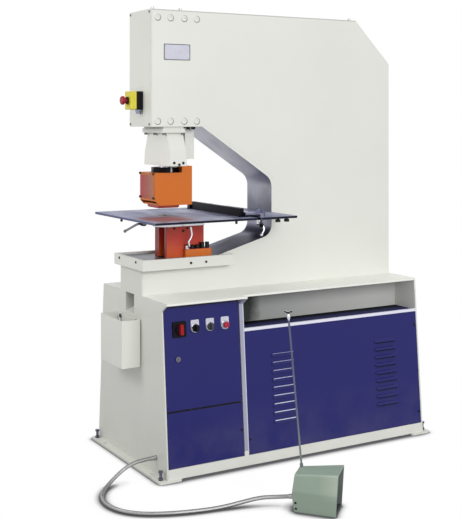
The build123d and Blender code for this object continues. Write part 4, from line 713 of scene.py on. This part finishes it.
def amber_sheet():
    """Translucent amber sheet, a little scratched."""
    sheet = Finish("amber_window")
    across = sheet.along("Y")
    haze = sheet.noise(35.0, 4.0, (1, 1, 3))
    # Painted reflection: crimson on the far side, tan on the near side.
    nearer = sheet.span(across + haze * 0.02, *REFLECTION_FADE)
    reflected_tint = sheet.blend(nearer, tint(196, 60, 66), tint(188, 128, 98))
    beside = sheet.under(across, BORDER_NEAR, 0.003)
    above = sheet.over(sheet.along("Z"), BORDER_LOW, 0.002)
    backed = sheet.blend(sheet.most(beside, above), reflected_tint, tint(222, 122, 30))
    rim = sheet.span(sheet.facing(LEFT), 0.95, 0.7)
    colour = sheet.blend(rim, backed, tint(236, 160, 120))
    gloss = sheet.span(haze, 0.3, 0.8, 0.10, 0.24)
    sheet.set({"Base Color": colour, "Roughness": gloss, "Alpha": sheet.span(haze, 0.2, 0.8, 0.55, 0.66)})
    return sheet.material


window_amber = amber_sheet()
print("made:", window_amber.name)

# %% [markdown]
# The pedal is cast and sprayed with a satin grey-green coat, softer than the enamel of the machine. Its
# corners are paler, partly wear and partly a painted highlight, and it is painted lighter above the hood's
# shoulder, a painted light. Its hood is painted darker inside, a painted shade, and paler near its mouth, a
# painted sheen. The pedal stands turned on the floor, so such places are told in its own directions, along
# it and towards its far side.

# %% Pedal finishes
PEDAL_AT = at(-326, -928, 0)
PEDAL_TURN = math.radians(-46)
PEDAL_ALONG = Vector((math.cos(PEDAL_TURN), math.sin(PEDAL_TURN), 0.0))
PEDAL_FAR = Vector((-math.sin(PEDAL_TURN), math.cos(PEDAL_TURN), 0.0))
FAR_WALL = 0.02
LIT_SHOULDER_FADE = (0.078, 0.086)
CAST_CORNER, SKIN_DEPTH, SKIN_STRENGTH = 0.004, 0.0006, 0.10
MOUTH_SHEEN_FADE, SHEEN_HEIGHT_FADE = (0.02, 0.09), (0.05, 0.10)


def satin_cast(name, colour):
    """Satin paint over a fine casting skin."""
    coat = Finish(name)
    pure = colour(coat) if callable(colour) else colour
    skin = coat.noise(160.0, 4.0)
    base = coat.tone(pure, coat.span(coat.noise(6.0, 4.0), 0.3, 0.7), 0.96, 1.04)
    soft = coat.rounded(CAST_CORNER)
    # Paler corners: partly wear and partly a painted highlight.
    wear_and_sheen = coat.edges(soft) * coat.span(coat.noise(30.0, 5.0), 0.48, 0.66)
    # Lighter above the hood's shoulder: painted light.
    upper = coat.span(coat.along("Z"), *LIT_SHOULDER_FADE)
    surface = coat.tone(coat.tone(base, wear_and_sheen, 1.0, 1.25), upper, 0.90, 1.06)
    coat.set({"Base Color": surface, "Roughness": coat.span(skin, 0.3, 0.7, 0.42, 0.52)})
    coat.set({"Normal": coat.bump(skin, SKIN_STRENGTH, SKIN_DEPTH, soft)})
    return coat.material


def hood_colours(coat):
    """Grey-green, with painted shade on the inner face of the far wall and a painted sheen near the mouth."""
    aside = coat.toward(-PEDAL_FAR)
    place = coat.add("VectorMath", {"operation": "SUBTRACT"}, {0: coat.point, 1: PEDAL_AT})
    # Painted shade on the inner face of the far wall.
    inner = coat.over(coat.dot(place, PEDAL_FAR), FAR_WALL)
    # Painted sheen near the mouth.
    mouth = coat.span(coat.dot(place, PEDAL_ALONG), *MOUTH_SHEEN_FADE)
    wear_and_sheen = mouth * coat.span(coat.along("Z"), *SHEEN_HEIGHT_FADE)
    side = coat.blend(wear_and_sheen * aside, tint(146, 163, 148), tint(172, 184, 168))
    return coat.blend(inner * aside, side, tint(104, 110, 110))


pedal_green = satin_cast("pedal_green_satin", hood_colours)
pedal_iron = satin_cast("pedal_black_iron", tint(58, 60, 60))
print("made:", pedal_green.name, pedal_iron.name)

# %% [markdown]
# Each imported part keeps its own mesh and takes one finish. Writing the list by finish, rather than by
# part, makes it easy to see that nothing is left with its plain import colour.

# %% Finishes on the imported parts
wearing = {
    cream_enamel: "stripper_bracket bed_rim right_end_plate slug_bin foot_plates",
    shaded_end_enamel: "head_end_cover left_end_plate",
    lit_top_enamel: "base_top_plates",
    housing_light_and_shade_enamel: "ram_housing",
    frame_enamel: "frame_plate_front frame_plate_rear frame_spine_plate",
    rail_enamel: "front_rail",
    bolt_enamel: "painted_bolts",
    recess_enamel: "recess_shelf",
    blue_enamel: "electrical_door louvre_panel lower_panel rear_panel",
    orange_enamel: "stripper_guard",
    foot_enamel: "stripper_foot",
    holder_enamel: "die_holder",
    motor_enamel: "motor oil_tank switchgear",
    throat_steel: "throat_plate",
    carriage_steel: "fence_carriages",
    table_steel: "work_table",
    bed_steel: "bed_plate",
    bright_steel: "die_bolster punch ram",
    black_steel: "fence_bar stripper_fixings die",
    nut_steel: "coupling_nut",
    screw_steel: "machine_screws",
    gland_zinc: "cable_glands",
    dark_zinc: "table_lever door_lock",
    bolt_zinc: "levelling_bolts",
    chrome: "fence_lever holder_lever",
    rod_steel: "carry_rod",
    iron: "cylinder_block pump",
    black_plastic: "estop_box selector_black",
    plate_plastic: "control_plates",
    grey_plastic: "selector_grey",
    red_plastic: "stop_button",
    mushroom_plastic: "estop_button",
    switch_plastic: "main_switch_handle",
    yellow_plastic: "estop_cover",
    seal_rubber: "piston_seals",
    window_amber: "guard_window",
    pedal_green: "pedal_hood",
    pedal_iron: "pedal_base pedal_treadle",
    conduit_metal: "pedal_cable",
}
dressed = set()
for material, names in wearing.items():
    for name in names.split():
        nodes[name].data.materials.clear()
        nodes[name].data.materials.append(material)
        dressed.add(name)
print("parts dressed:", len(dressed), "left:", sorted(set(nodes) - dressed))

# %% [markdown]
# What repeats on the machine is set out with Geometry Nodes: conduit ribs, screws, rings, bars and fins. Each
# kind of repeat is one small tree with named sizes, and this class keeps the writing of a tree short.

# %% Geometry Nodes trees
class Tree:
    """A Geometry Nodes group built in code, with named inputs for its sizes."""

    def __init__(self, name, inputs):
        self.group = bpy.data.node_groups.new(name, "GeometryNodeTree")
        sides = self.group.interface
        sides.new_socket("Geometry", in_out="OUTPUT", socket_type="NodeSocketGeometry")
        self.sockets = {}
        for label, kind in inputs.items():
            made = sides.new_socket(label, in_out="INPUT", socket_type="NodeSocket" + kind)
            self.sockets[label] = made.identifier
        self.source = self.group.nodes.new("NodeGroupInput")
        self.sink = self.group.nodes.new("NodeGroupOutput")

    def input(self, label):
        return self.source.outputs[label]

    def add(self, kind, settings=None, sockets=None, out=0):
        node = self.group.nodes.new(kind)
        for key, value in (settings or {}).items():
            setattr(node, key, value)
        for key, value in (sockets or {}).items():
            if isinstance(value, bpy.types.NodeSocket):
                self.group.links.new(value, node.inputs[key])
            else:
                node.inputs[key].default_value = value
        return node.outputs[out]

    def circle(self, sides, radius):
        sizes = {"Resolution": sides, "Radius": radius}
        return self.add("GeometryNodeCurvePrimitiveCircle", None, sizes)

    def hoop(self, sides, radius, wire_sides, wire):
        """A ring of round wire."""
        bent = {"Curve": self.circle(sides, radius), "Profile Curve": self.circle(wire_sides, wire)}
        return self.add("GeometryNodeCurveToMesh", None, bent)

    def set_out(self, points, instance, turn):
        placed = {"Points": points, "Instance": instance, "Rotation": turn}
        return self.add("GeometryNodeInstanceOnPoints", None, placed)

    def outward(self, axis="Z"):
        """A turn that points an instance's axis along each point's own direction."""
        named = {"data_type": "FLOAT_VECTOR"}
        facing = self.add("GeometryNodeInputNamedAttribute", named, {"Name": "outward"})
        return self.add("FunctionNodeAlignRotationToVector", {"axis": axis}, {"Vector": facing})

    def finish(self, geometry):
        """Close the tree: real geometry with its material."""
        real = self.add("GeometryNodeRealizeInstances", None, {"Geometry": geometry})
        coated = {"Geometry": real, "Material": self.input("Material")}
        self.group.links.new(self.add("GeometryNodeSetMaterial", None, coated), self.sink.inputs[0])


print("tree class ready")

# %% [markdown]
# A tree could stay live as a modifier, but a finished piece travels better as a plain mesh. So each tree
# runs once on its list of points, its instances are made real, and the result rides on one body.

# %% Pieces on bodies
def settle(piece, body):
    """Let a finished piece ride on a body."""
    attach(piece, body)
    print(piece.name, "on", body, "faces:", len(getattr(piece.data, "polygons", [])))
    return piece


def put_on(name, data, body):
    """Put finished data into the scene as a piece on a body."""
    piece = bpy.data.objects.new(name, data)
    scene.collection.objects.link(piece)
    return settle(piece, body)


def grow(name, tree, values, body, mesh=None):
    """Run a tree once and keep its result as a plain mesh piece on a body."""
    host = bpy.data.objects.new(name + "_host", mesh or bpy.data.meshes.new(name + "_seed"))
    scene.collection.objects.link(host)
    modifier = host.modifiers.new("grow", "NODES")
    modifier.node_group = tree.group
    for label, value in values.items():
        modifier[tree.sockets[label]] = value
    graph = bpy.context.evaluated_depsgraph_get()
    result = bpy.data.meshes.new_from_object(host.evaluated_get(graph))
    bpy.data.objects.remove(host)
    result.name = name
    return put_on(name, result, body)


def spots(name, places):
    """A mesh of loose points, each with the direction that its screw or rivet faces."""
    mesh = bpy.data.meshes.new(name + "_spots")
    mesh.from_pydata([tuple(spot) for spot, out in places], [], [])
    facing = mesh.attributes.new("outward", "FLOAT_VECTOR", "POINT")
    for item, (spot, out) in zip(facing.data, places):
        item.vector = out
    return mesh


print("piece helpers ready")

# %% [markdown]
# The conduit is wound from a metal strip, so close up it is ribbed like a hose. The tree walks along
# its spline and sets a thin ring at every rib.

# %% Conduit ribs
RIB_PITCH = 0.0045
RIB_WIRE = 0.0011
rib_inputs = {"Line": "Object", "Pitch": "Float", "Radius": "Float", "Wire": "Float", "Material": "Material"}
ribs = Tree("conduit_ribs", rib_inputs)
from_line = {"transform_space": "ORIGINAL"}
line = ribs.add("GeometryNodeObjectInfo", from_line, {"Object": ribs.input("Line")}, "Geometry")
steps = {"Curve": line, "Length": ribs.input("Pitch")}
walk = ribs.add("GeometryNodeCurveToPoints", {"mode": "LENGTH"}, steps)
rib = ribs.hoop(14, ribs.input("Radius"), 4, ribs.input("Wire"))
ribs.finish(ribs.set_out(walk, rib, walk.node.outputs["Rotation"]))

guide = conduit.copy()
guide.data = conduit.data.copy()
guide.data.bevel_depth = 0.0
scene.collection.objects.link(guide)
rib_sizes = {"Pitch": RIB_PITCH, "Radius": CONDUIT_DIAMETER / 2 - RIB_WIRE / 2, "Wire": RIB_WIRE}
rib_values = {"Line": guide, "Material": conduit_metal, **rib_sizes}
conduit_ribs = grow("conduit_ribs", ribs, rib_values, "machine")
bpy.data.objects.remove(guide)

# %% [markdown]
# The conduit itself stays a curve under its ribs. It takes the place of the plain tube among the packed
# parts, which is hidden.

# %% Conduit
conduit.data.materials.append(conduit_metal)
settle(conduit, "machine")
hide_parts("pedal_cable")

# %% [markdown]
# Screws, rivets and washers are all low frustums: a foot, a slightly smaller top and a height. One tree
# sets them on any list of places. First come grey washers under the big head bolts. They lie a little off
# centre, so each shows as a grey crescent on one side, a painted shade that stands for the shaded wall of a
# counterbore.

# %% Frustum tree and washers
head_inputs = {"Points": "Geometry", "Sides": "Int", "Foot": "Float", "Top": "Float", "Height": "Float"}
heads = Tree("frustum_heads", {**head_inputs, "Material": "Material"})
frustum = {
    "Vertices": heads.input("Sides"),
    "Radius Top": heads.input("Top"),
    "Radius Bottom": heads.input("Foot"),
    "Depth": heads.input("Height"),
}
cone = heads.add("GeometryNodeMeshCone", None, frustum)
heads.finish(heads.set_out(heads.input("Points"), cone, heads.outward()))


def stud(name, places, sizes, material, body):
    """Frustums on a body: sides, foot radius, top radius and height in millimetres."""
    sides, foot, top, height = sizes
    values = {"Sides": sides, "Foot": foot * MM, "Top": top * MM, "Height": height * MM, "Material": material}
    grow(name, heads, values, body, spots(name, places))


BOLT_COLUMNS = (-626, -561, -491, -426)
BOLT_ROWS = (1544, 2014)
FRAME_HALF = 113
# Each washer is set off centre so that a grey crescent shows beside its head: painted shade.
SHADE_CRESCENT_ASIDE, SHADE_CRESCENT_DOWN = 2.8, 1.0
washer_places = []
for side, out in ((-1, NEAR), (1, FAR)):
    for x in BOLT_COLUMNS:
        for z in BOLT_ROWS:
            washer_places.append((at(x + SHADE_CRESCENT_ASIDE, side * FRAME_HALF, z - SHADE_CRESCENT_DOWN), out))
stud("bolt_washers", washer_places, (28, 16.2, 15.8, 0.8), crescent_shade_enamel, "machine")

# %% [markdown]
# The smaller screws have hexagon sockets, drawn as flat dark hexagons on their heads: a painted shade that
# stands for the recess. The bracket, the holder, the stop box and the bin's pegs have caps and screws of
# their own. They are too fine for the solids, and the same tree sets them all.

# %% Sockets and caps
HEAD_COVER_X, RIM_END_X, RIM_SIDE_Y = -662.5, -721.5, 160.5
STOP_BOX_X, PEG_END_X = -720, -717.3
BRACKET_FOOT_Z, HOLDER_SIDE_Y = 1518, -62
socket_places = [(at(HEAD_COVER_X, y, z), LEFT) for y in (-101, 101) for z in (1530, 2038)]
socket_places += [(at(RIM_END_X, y, 910), LEFT) for y in (-85, 95)]
socket_places += [(at(x, s * RIM_SIDE_Y, 899), FAR * s) for x in (-478, -400) for s in (-1, 1)]
for x, z in ((-328, 170), (-286, 122), (688, 533), (688, 109)):
    socket_places.append((on_front(x, z, -0.5), FACE_OUT))
# Flat dark hexagons for the sockets: painted shade in place of a recess.
stud("screw_sockets", socket_places, (6, 2.9, 2.9, 0.25), black_plastic, "machine")
cap_spots = ((-464, -101), (-438, -101), (-427, -88))
cap_places = [(at(x, y, BRACKET_FOOT_Z), DOWN) for x, y in cap_spots]
stud("bracket_caps", cap_places, (20, 8.0, 7.2, 12.0), black_steel, "machine")
holder_spots = ((-515, 1048), (-446, 1048), (-468, 1036))
holder_places = [(at(x, HOLDER_SIDE_Y, z), NEAR) for x, z in holder_spots]
stud("holder_caps", holder_places, (14, 5.5, 4.6, 4.0), black_steel, "machine")
cover_places = [(at(STOP_BOX_X, y, z), LEFT) for y in (-26, 26) for z in (1603, 1673)]
stud("stop_box_screws", cover_places, (12, 3.4, 2.8, 0.8), zinc_plate, "machine")
peg_places = [(at(PEG_END_X, y, 642), LEFT) for y in (-74, 94)]
stud("peg_caps", peg_places, (18, 7.8, 7.0, 1.5), black_plastic, "machine")

# %% [markdown]
# Thin plates and covers are lofts through a few flat loops, each at its own height. The rounded corners could
# be bevels, but a superellipse is the shortest way to write a rounded rectangle, or a circle, as one loop.

# %% Loops and lofts
LOOP_POINTS = 40
ROUND = 2


def loop(width, height, square):
    """Points of a rounded rectangle about its centre: the larger the power, the squarer its corners."""
    ring = []
    for step in range(LOOP_POINTS):
        angle = 2 * math.pi * (step + 0.5) / LOOP_POINTS
        across, up = math.cos(angle), math.sin(angle)
        ring.append((
            math.copysign(abs(across) ** (2 / square), across) * width / 2,
            math.copysign(abs(up) ** (2 / square), up) * height / 2,
        ))
    return ring


def lofted(rings, seats, closed_top=True):
    """A mesh through rings of points: each ring is given flat, with its own height over the seat."""
    mesh = bmesh.new()
    for origin, right, up, out in seats:
        rows = []
        for ring, height in rings:
            rows.append([mesh.verts.new((origin + right * x + up * y + out * height)) for x, y in ring])
        count = len(rows[0])
        for lower, upper in zip(rows, rows[1:]):
            for step in range(count):
                after = (step + 1) % count
                mesh.faces.new((lower[step], lower[after], upper[after], upper[step]))
        if closed_top:
            mesh.faces.new(rows[-1])
    bmesh.ops.recalc_face_normals(mesh, faces=mesh.faces)
    return mesh


def keep(name, mesh, material, body):
    """Turn a bmesh into a piece on a body."""
    data = bpy.data.meshes.new(name)
    mesh.to_mesh(data)
    mesh.free()
    data.materials.append(material)
    put_on(name, data, body)


print("points in a loop:", LOOP_POINTS)

# %% [markdown]
# A plain plate is riveted to the frame, high on the operator's side. It is a thin sheet with a raised border
# of another colour. One mesh with two materials could do it, but two lofts that overlap a little are simpler.

# %% Rating plate
PLATE_AT = at(-526, -FRAME_HALF, 1858.5)
WIDE, TALL, SQUARE = 0.134, 0.073, 34
BORDER, OVERLAP = 0.006, 0.004
BORDER_TOP, SHEET_TOP = 0.0013, 0.0009
RIVET_X, RIVET_Z = 0.059, 0.0285


def plate_loop(smaller):
    return loop(WIDE - smaller, TALL - smaller, SQUARE)


plate_seat = [(PLATE_AT, RIGHT, UP, NEAR)]
border_rings = [
    (plate_loop(0.0), 0.0),
    (plate_loop(0.0), BORDER_TOP),
    (plate_loop(BORDER), BORDER_TOP),
    (plate_loop(BORDER), 0.0008),
]
field_rings = [(plate_loop(OVERLAP), 0.0004), (plate_loop(OVERLAP), SHEET_TOP)]
border = lofted(border_rings, plate_seat, False)
keep("rating_plate_border", border, grey_plastic, "machine")
keep("rating_plate", lofted(field_rings, plate_seat), silver_paint, "machine")
rivet_corners = [(x, z) for x in (-RIVET_X, RIVET_X) for z in (-RIVET_Z, RIVET_Z)]
rivet_places = [(PLATE_AT + Vector((x, -SHEET_TOP, z)), NEAR) for x, z in rivet_corners]
stud("plate_rivets", rivet_places, (14, 2.4, 1.4, 1.1), zinc_plate, "machine")

# %% [markdown]
# On the door each control stands on a silver legend plate, square above and round below. It is a loft from
# that outline in to the round hole of the control.

# %% Legend plates
CONTROL_X = (-545, -470, -394)
CONTROL_Z = 639
HOLE = 0.0384
TAG_WIDE, TAG_RISE, TAG_SQUARE = 0.0406, 0.0353, 12
TAG_FOOT, TAG_EDGE, TAG_TOP = 0.0012, 0.0019, 0.0021


def tag(width, rise):
    """Outline of a legend plate about its control: square above, round below."""
    upper, lower = loop(width, 2 * rise, TAG_SQUARE), loop(width, width, ROUND)
    return [high if high[1] > 0 else low for high, low in zip(upper, lower)]


legend_rings = [
    (tag(TAG_WIDE, TAG_RISE), TAG_FOOT),
    (tag(TAG_WIDE, TAG_RISE), TAG_EDGE),
    (tag(TAG_WIDE - 0.0014, TAG_RISE - 0.0008), TAG_TOP),
    (loop(HOLE, HOLE, ROUND), TAG_TOP),
]
legend_seats = [(on_front(x, CONTROL_Z, DISC_SEAT), RIGHT, FACE_UP, FACE_OUT) for x in CONTROL_X]
keep("legend_plates", lofted(legend_rings, legend_seats, False), silver_paint, "door")

# %% [markdown]
# A bright bezel ring holds each control. Rings of round wire come back on the bolts, so they get a tree.

# %% Bezels
ring_inputs = {"Points": "Geometry", "Radius": "Float", "Wire": "Float", "Sides": "Int"}
rings = Tree("wire_rings", {**ring_inputs, "Material": "Material"})
ring = rings.hoop(rings.input("Sides"), rings.input("Radius"), 8, rings.input("Wire"))
smooth = rings.add("GeometryNodeSetShadeSmooth", None, {"Geometry": ring})
rings.finish(rings.set_out(rings.input("Points"), smooth, rings.outward()))
BEZEL_RISE = 3.4
bezel_places = [(on_front(x, CONTROL_Z, -BEZEL_RISE), FACE_OUT) for x in CONTROL_X]
bezel = {"Radius": 0.0182, "Wire": 0.0017, "Sides": 40, "Material": chrome}
grow("control_bezels", rings, bezel, "door", spots("control_bezels", bezel_places))

# %% [markdown]
# The levelling bolts show their thread between the two nuts. At this size a stack of fine rings reads
# the same as a helix and costs less, so the ring tree is used again.

# %% Bolt threads
LEVELLER_X, LEVELLER_Y = 724, 345
THREAD_LOW, THREAD_PITCH, THREAD_TURNS = 20.8, 1.75, 12
thread_places = []
for x in (-LEVELLER_X, LEVELLER_X):
    for y in (-LEVELLER_Y, LEVELLER_Y):
        for turn in range(THREAD_TURNS):
            thread_places.append((at(x, y, THREAD_LOW + turn * THREAD_PITCH), UP))
thread = {"Radius": 0.0058, "Wire": 0.0007, "Sides": 16, "Material": dark_zinc}
grow("bolt_threads", rings, thread, "machine", spots("bolt_threads", thread_places))

# %% [markdown]
# The treadle inside the pedal has cast ribs across it, so that a wet sole doesn't slip. A bar tree sets
# them out along the treadle. The hood's side screws use the frustum tree.

# %% Pedal details
TREADLE_BACK, TREADLE_LOW, TREADLE_SLOPE = -45, 37.6, 0.0714
TREADLE_RIBS = range(-22, 78, 8)
HOOD_BACK, HOOD_HALF, HOOD_FLARE = -74, 55, 0.08475
HOOD_SCREWS = ((-68, 16), (-70, 38))


def pedal_point(along, far, z):
    """A point in the pedal's own frame, given in millimetres, in metres."""
    return PEDAL_AT + (PEDAL_ALONG * along + PEDAL_FAR * far + UP * z) * MM


bars = Tree("cross_bars", {"Points": "Geometry", "Size": "Vector", "Material": "Material"})
bar = bars.add("GeometryNodeMeshCube", None, {"Size": bars.input("Size")})
bars.finish(bars.set_out(bars.input("Points"), bar, bars.outward("X")))


def bar_row(name, places, size, material, body):
    """Bars along each point's own direction: length, thickness and height in millimetres."""
    values = {"Size": tuple(value * MM for value in size), "Material": material}
    grow(name, bars, values, body, spots(name, places))


rib_places = []
for along in TREADLE_RIBS:
    height = TREADLE_LOW + (along - TREADLE_BACK) * TREADLE_SLOPE
    rib_places.append((pedal_point(along, 0, height), PEDAL_FAR))
bar_row("treadle_ribs", rib_places, (62, 3, 2.2), pedal_iron, "treadle")
side_places = []
for along, z in HOOD_SCREWS:
    half = HOOD_HALF + (along - HOOD_BACK) * HOOD_FLARE
    side_places += [(pedal_point(along, side * half, z), PEDAL_FAR * side) for side in (-1, 1)]
stud("pedal_screws", side_places, (14, 4.6, 3.6, 2.4), black_steel, "machine")

# %% [markdown]
# Each louvre of the big panel is pressed outward and torn along its lower edge. Bars on points paint their
# light and shade: bright bars along the upper bends of the left bank are a painted highlight, and dark bars
# under the torn lips of the right bank are a painted shade in the slit behind.

# %% Louvre lips
LOUVRE_TOP, LOUVRE_PITCH, LOUVRES = 484, 37.2, 9
LOUVRE_HIGHLIGHT_FADE = (0.24, 0.50)


# Painted highlight, brighter on the lower rows.
def louvre_highlight_colours(bare):
    return bare.blend(bare.span(bare.along("Z"), *LOUVRE_HIGHLIGHT_FADE), tint(240, 240, 252), tint(132, 132, 166))


louvre_highlight_steel = metal("louvre_painted_highlight_steel", louvre_highlight_colours, 0.35)
# Bright bars on the left bank are painted highlight, dark bars on the right bank painted shade.
banks = (("left", -96, louvre_highlight_steel, 1.2, 1.2), ("right", 496.5, black_plastic, 16.5, 6.0))
for bank, middle, material, drop, out in banks:
    rows = [LOUVRE_TOP - row * LOUVRE_PITCH - drop for row in range(LOUVRES)]
    lip_places = [(on_front(middle, z, -out), RIGHT) for z in rows]
    bar_row(f"{bank}_louvre_lips", lip_places, (112, 4.4, 2.8), material, "machine")

# %% [markdown]
# Behind the door is a mounting plate with switchgear. Its bare blocks become devices with small dressings:
# terminal screws along their edges, pale front covers, and slotted wiring ducts between the rows.

# %% Switchgear dressing
PLATE_Y = -116
DEVICE_LEFT, DEVICE_GAP, SCREW_INSET = -648, 4, 6
COVER_WIDE, COVER_TALL, COVER_SQUARE = 40, 80, 10
TERMINALS = (0.2, 0.5, 0.8)
DUCT_ROWS, DUCT_LEFT, DUCT_MIDDLE = (556, 410), -655, -506
DUCT_TALL, DUCT_DEEP = 38, 40
TEETH, TOOTH_PITCH = 46, 6.6
device_rows = ((600, 90, 48, 5, 78), (460, 80, 54, 4, 70), (350, 40, 26, 9, 44))
terminal_places, cover_seats = [], []
for low, tall, pitch, count, depth in device_rows:
    face = PLATE_Y - depth
    for index in range(count):
        left, wide = DEVICE_LEFT + index * pitch, pitch - DEVICE_GAP
        for share in TERMINALS:
            for edge in (SCREW_INSET, tall - SCREW_INSET):
                terminal_places.append((at(left + wide * share, face, low + edge), NEAR))
        middle = at(left + wide / 2, face, low + tall / 2)
        cover_seats.append((middle, RIGHT * (wide / COVER_WIDE), UP * (tall / COVER_TALL), NEAR))
stud("terminal_screws", terminal_places, (10, 3.0, 2.6, 0.8), zinc_plate, "machine")
cover_foot, cover_top = loop(0.036, 0.052, COVER_SQUARE), loop(0.03, 0.044, COVER_SQUARE)
cover_rings = [(cover_foot, 0.0), (cover_foot, 0.004), (cover_top, 0.006)]
keep("device_covers", lofted(cover_rings, cover_seats), pale_plastic, "machine")
teeth_places = []
for low in DUCT_ROWS:
    for index in range(TEETH):
        for edge in (0, DUCT_TALL):
            tooth = at(DUCT_LEFT + index * TOOTH_PITCH, PLATE_Y - DUCT_DEEP / 2, low + edge)
            teeth_places.append((tooth, FAR))
bar_row("duct_teeth", teeth_places, (40, 4, 2), pale_plastic, "machine")
lid_y = PLATE_Y - DUCT_DEEP - 1
lid_places = [(at(DUCT_MIDDLE, lid_y, low + DUCT_TALL / 2), RIGHT) for low in DUCT_ROWS]
bar_row("duct_lids", lid_places, (304, 2, 40), pale_plastic, "machine")

# %% [markdown]
# The door closes on a rubber gasket round its stiffening frame. A closed tube along a rectangle does it. It
# is drawn as a curve and then turned into a mesh.

# %% Door gasket
GASKET_RADIUS, GASKET_DEPTH = 0.0021, 21.6
gasket_curve = bpy.data.curves.new("door_gasket", "CURVE")
gasket_curve.dimensions = "3D"
gasket_curve.bevel_depth = GASKET_RADIUS
gasket_curve.bevel_resolution = 2
run = gasket_curve.splines.new("POLY")
gasket_corners = [(-687, 302), (-331, 302), (-331, 732), (-687, 732)]
run.points.add(len(gasket_corners) - 1)
for control, (x, z) in zip(run.points, gasket_corners):
    control.co = (*on_front(x, z, GASKET_DEPTH), 1.0)
run.use_cyclic_u = True
shaper = bpy.data.objects.new("door_gasket_line", gasket_curve)
scene.collection.objects.link(shaper)
gasket = bpy.data.meshes.new_from_object(shaper.evaluated_get(bpy.context.evaluated_depsgraph_get()))
bpy.data.objects.remove(shaper)
gasket.materials.append(seal_rubber)
put_on("door_gasket", gasket, "door")

# %% [markdown]
# The motor inside the base has cooling fins along its barrel. They could be an array round an axis. Here a
# tree sets bars on a circle, each turned to stand out from it, and lays the circle across the barrel.

# %% Motor fins
fin_inputs = {"Count": "Int", "Radius": "Float", "Size": "Vector", "Centre": "Vector", "Material": "Material"}
fins = Tree("motor_fins", fin_inputs)
girth = fins.circle(fins.input("Count"), fins.input("Radius"))
stand = fins.add("GeometryNodeCurveToPoints", {"mode": "EVALUATED"}, {"Curve": girth})
fin = fins.add("GeometryNodeMeshCube", None, {"Size": fins.input("Size")})
barrel = fins.set_out(stand, fin, stand.node.outputs["Rotation"])
along_x = {"Geometry": barrel, "Rotation": (0.0, math.pi / 2, 0.0), "Translation": fins.input("Centre")}
fins.finish(fins.add("GeometryNodeTransform", None, along_x))
fin_sizes = {"Count": 40, "Radius": 0.096, "Size": (0.012, 0.230, 0.003), "Centre": (0.25, -0.220, 0.235)}
grow("motor_fins", fins, {**fin_sizes, "Material": motor_enamel}, "machine")

# %% [markdown]
# The stage is a plain white floor. It is self-lit for the rays that show it as a background, so it stays
# white, but less so close under things, where it keeps their shadow. How much stands near a spot of the
# floor, within three distances, says how dark that shadow is.

# %% Floor
WHITE = (1.0, 1.0, 1.0, 1.0)
FLOOR_HALF = 14.0
TOUCHING, NEARBY, ROOFED = (0.03, 16, 0.62, 1.0), (0.06, 16, 0.40, 0.96), (0.8, 8, 0.18, 0.40)
pale = Finish("pale_floor")
pale.set({"Base Color": tint(150, 150, 150), "Roughness": 0.9})
lit = Sock(pale, pale.shader.outputs[0])
glow = pale.add("Emission", None, {"Color": WHITE, "Strength": 1.0})
shade = pale.add("Emission", None, {"Color": tint(92, 92, 95), "Strength": 1.0})
clear = 1.0
for distance, samples, dark, open_air in (TOUCHING, NEARBY, ROOFED):
    free = pale.add("AmbientOcclusion", {"samples": samples}, {"Distance": distance}, out="AO")
    clear = clear * pale.span(free, dark, open_air)
shown = pale.add("MixShader", None, {0: clear, 1: shade, 2: glow})
mixed = pale.add("MixShader", None, {0: pale.seen(), 1: lit, 2: shown})
pale.tree.links.new(mixed.socket, pale.output.inputs[0])
floor_mesh = bpy.data.meshes.new("floor")
floor_corners = [(x * FLOOR_HALF, y * FLOOR_HALF, 0.0) for x, y in ((-1, -1), (1, -1), (1, 1), (-1, 1))]
floor_mesh.from_pydata(floor_corners, [], [(0, 1, 2, 3)])
floor_mesh.materials.append(pale.material)
floor = bpy.data.objects.new("floor", floor_mesh)
scene.collection.objects.link(floor)
print("floor", 2 * FLOOR_HALF, "m across")

# %% [markdown]
# The light is that of a bright room: an even world, a large lamp to the operator's side, and a small one at
# head height for the punch end. The world looks white wherever it is seen, but lights the machine less.

# %% Light
ROOM = 0.68


def lamp(name, place, aim, size, power):
    """A soft rectangular lamp pointed at a spot."""
    data = bpy.data.lights.new(name, "AREA")
    data.shape = "RECTANGLE"
    data.size, data.size_y = size
    data.energy = power
    light = bpy.data.objects.new(name, data)
    light.location = place
    light.rotation_euler = (Vector(aim) - Vector(place)).to_track_quat("-Z", "Y").to_euler()
    scene.collection.objects.link(light)


world = bpy.data.worlds.new("soft_room")
world.use_nodes = True
sky = Graph(world.node_tree)
background = world.node_tree.nodes["Background"]
sky.feed(background, {"Color": WHITE, "Strength": ROOM + sky.seen() * (1.0 - ROOM)})
scene.world = world
lamp("key", place=(-0.3, -7.3, 3.3), aim=(0.0, 0.0, 1.0), size=(4.0, 3.0), power=266.0)
lamp("punch_end", place=(-2.3, 0.15, 1.9), aim=(-0.65, 0.0, 1.5), size=(0.9, 0.9), power=12.0)
print("room light", ROOM, "and two lamps")
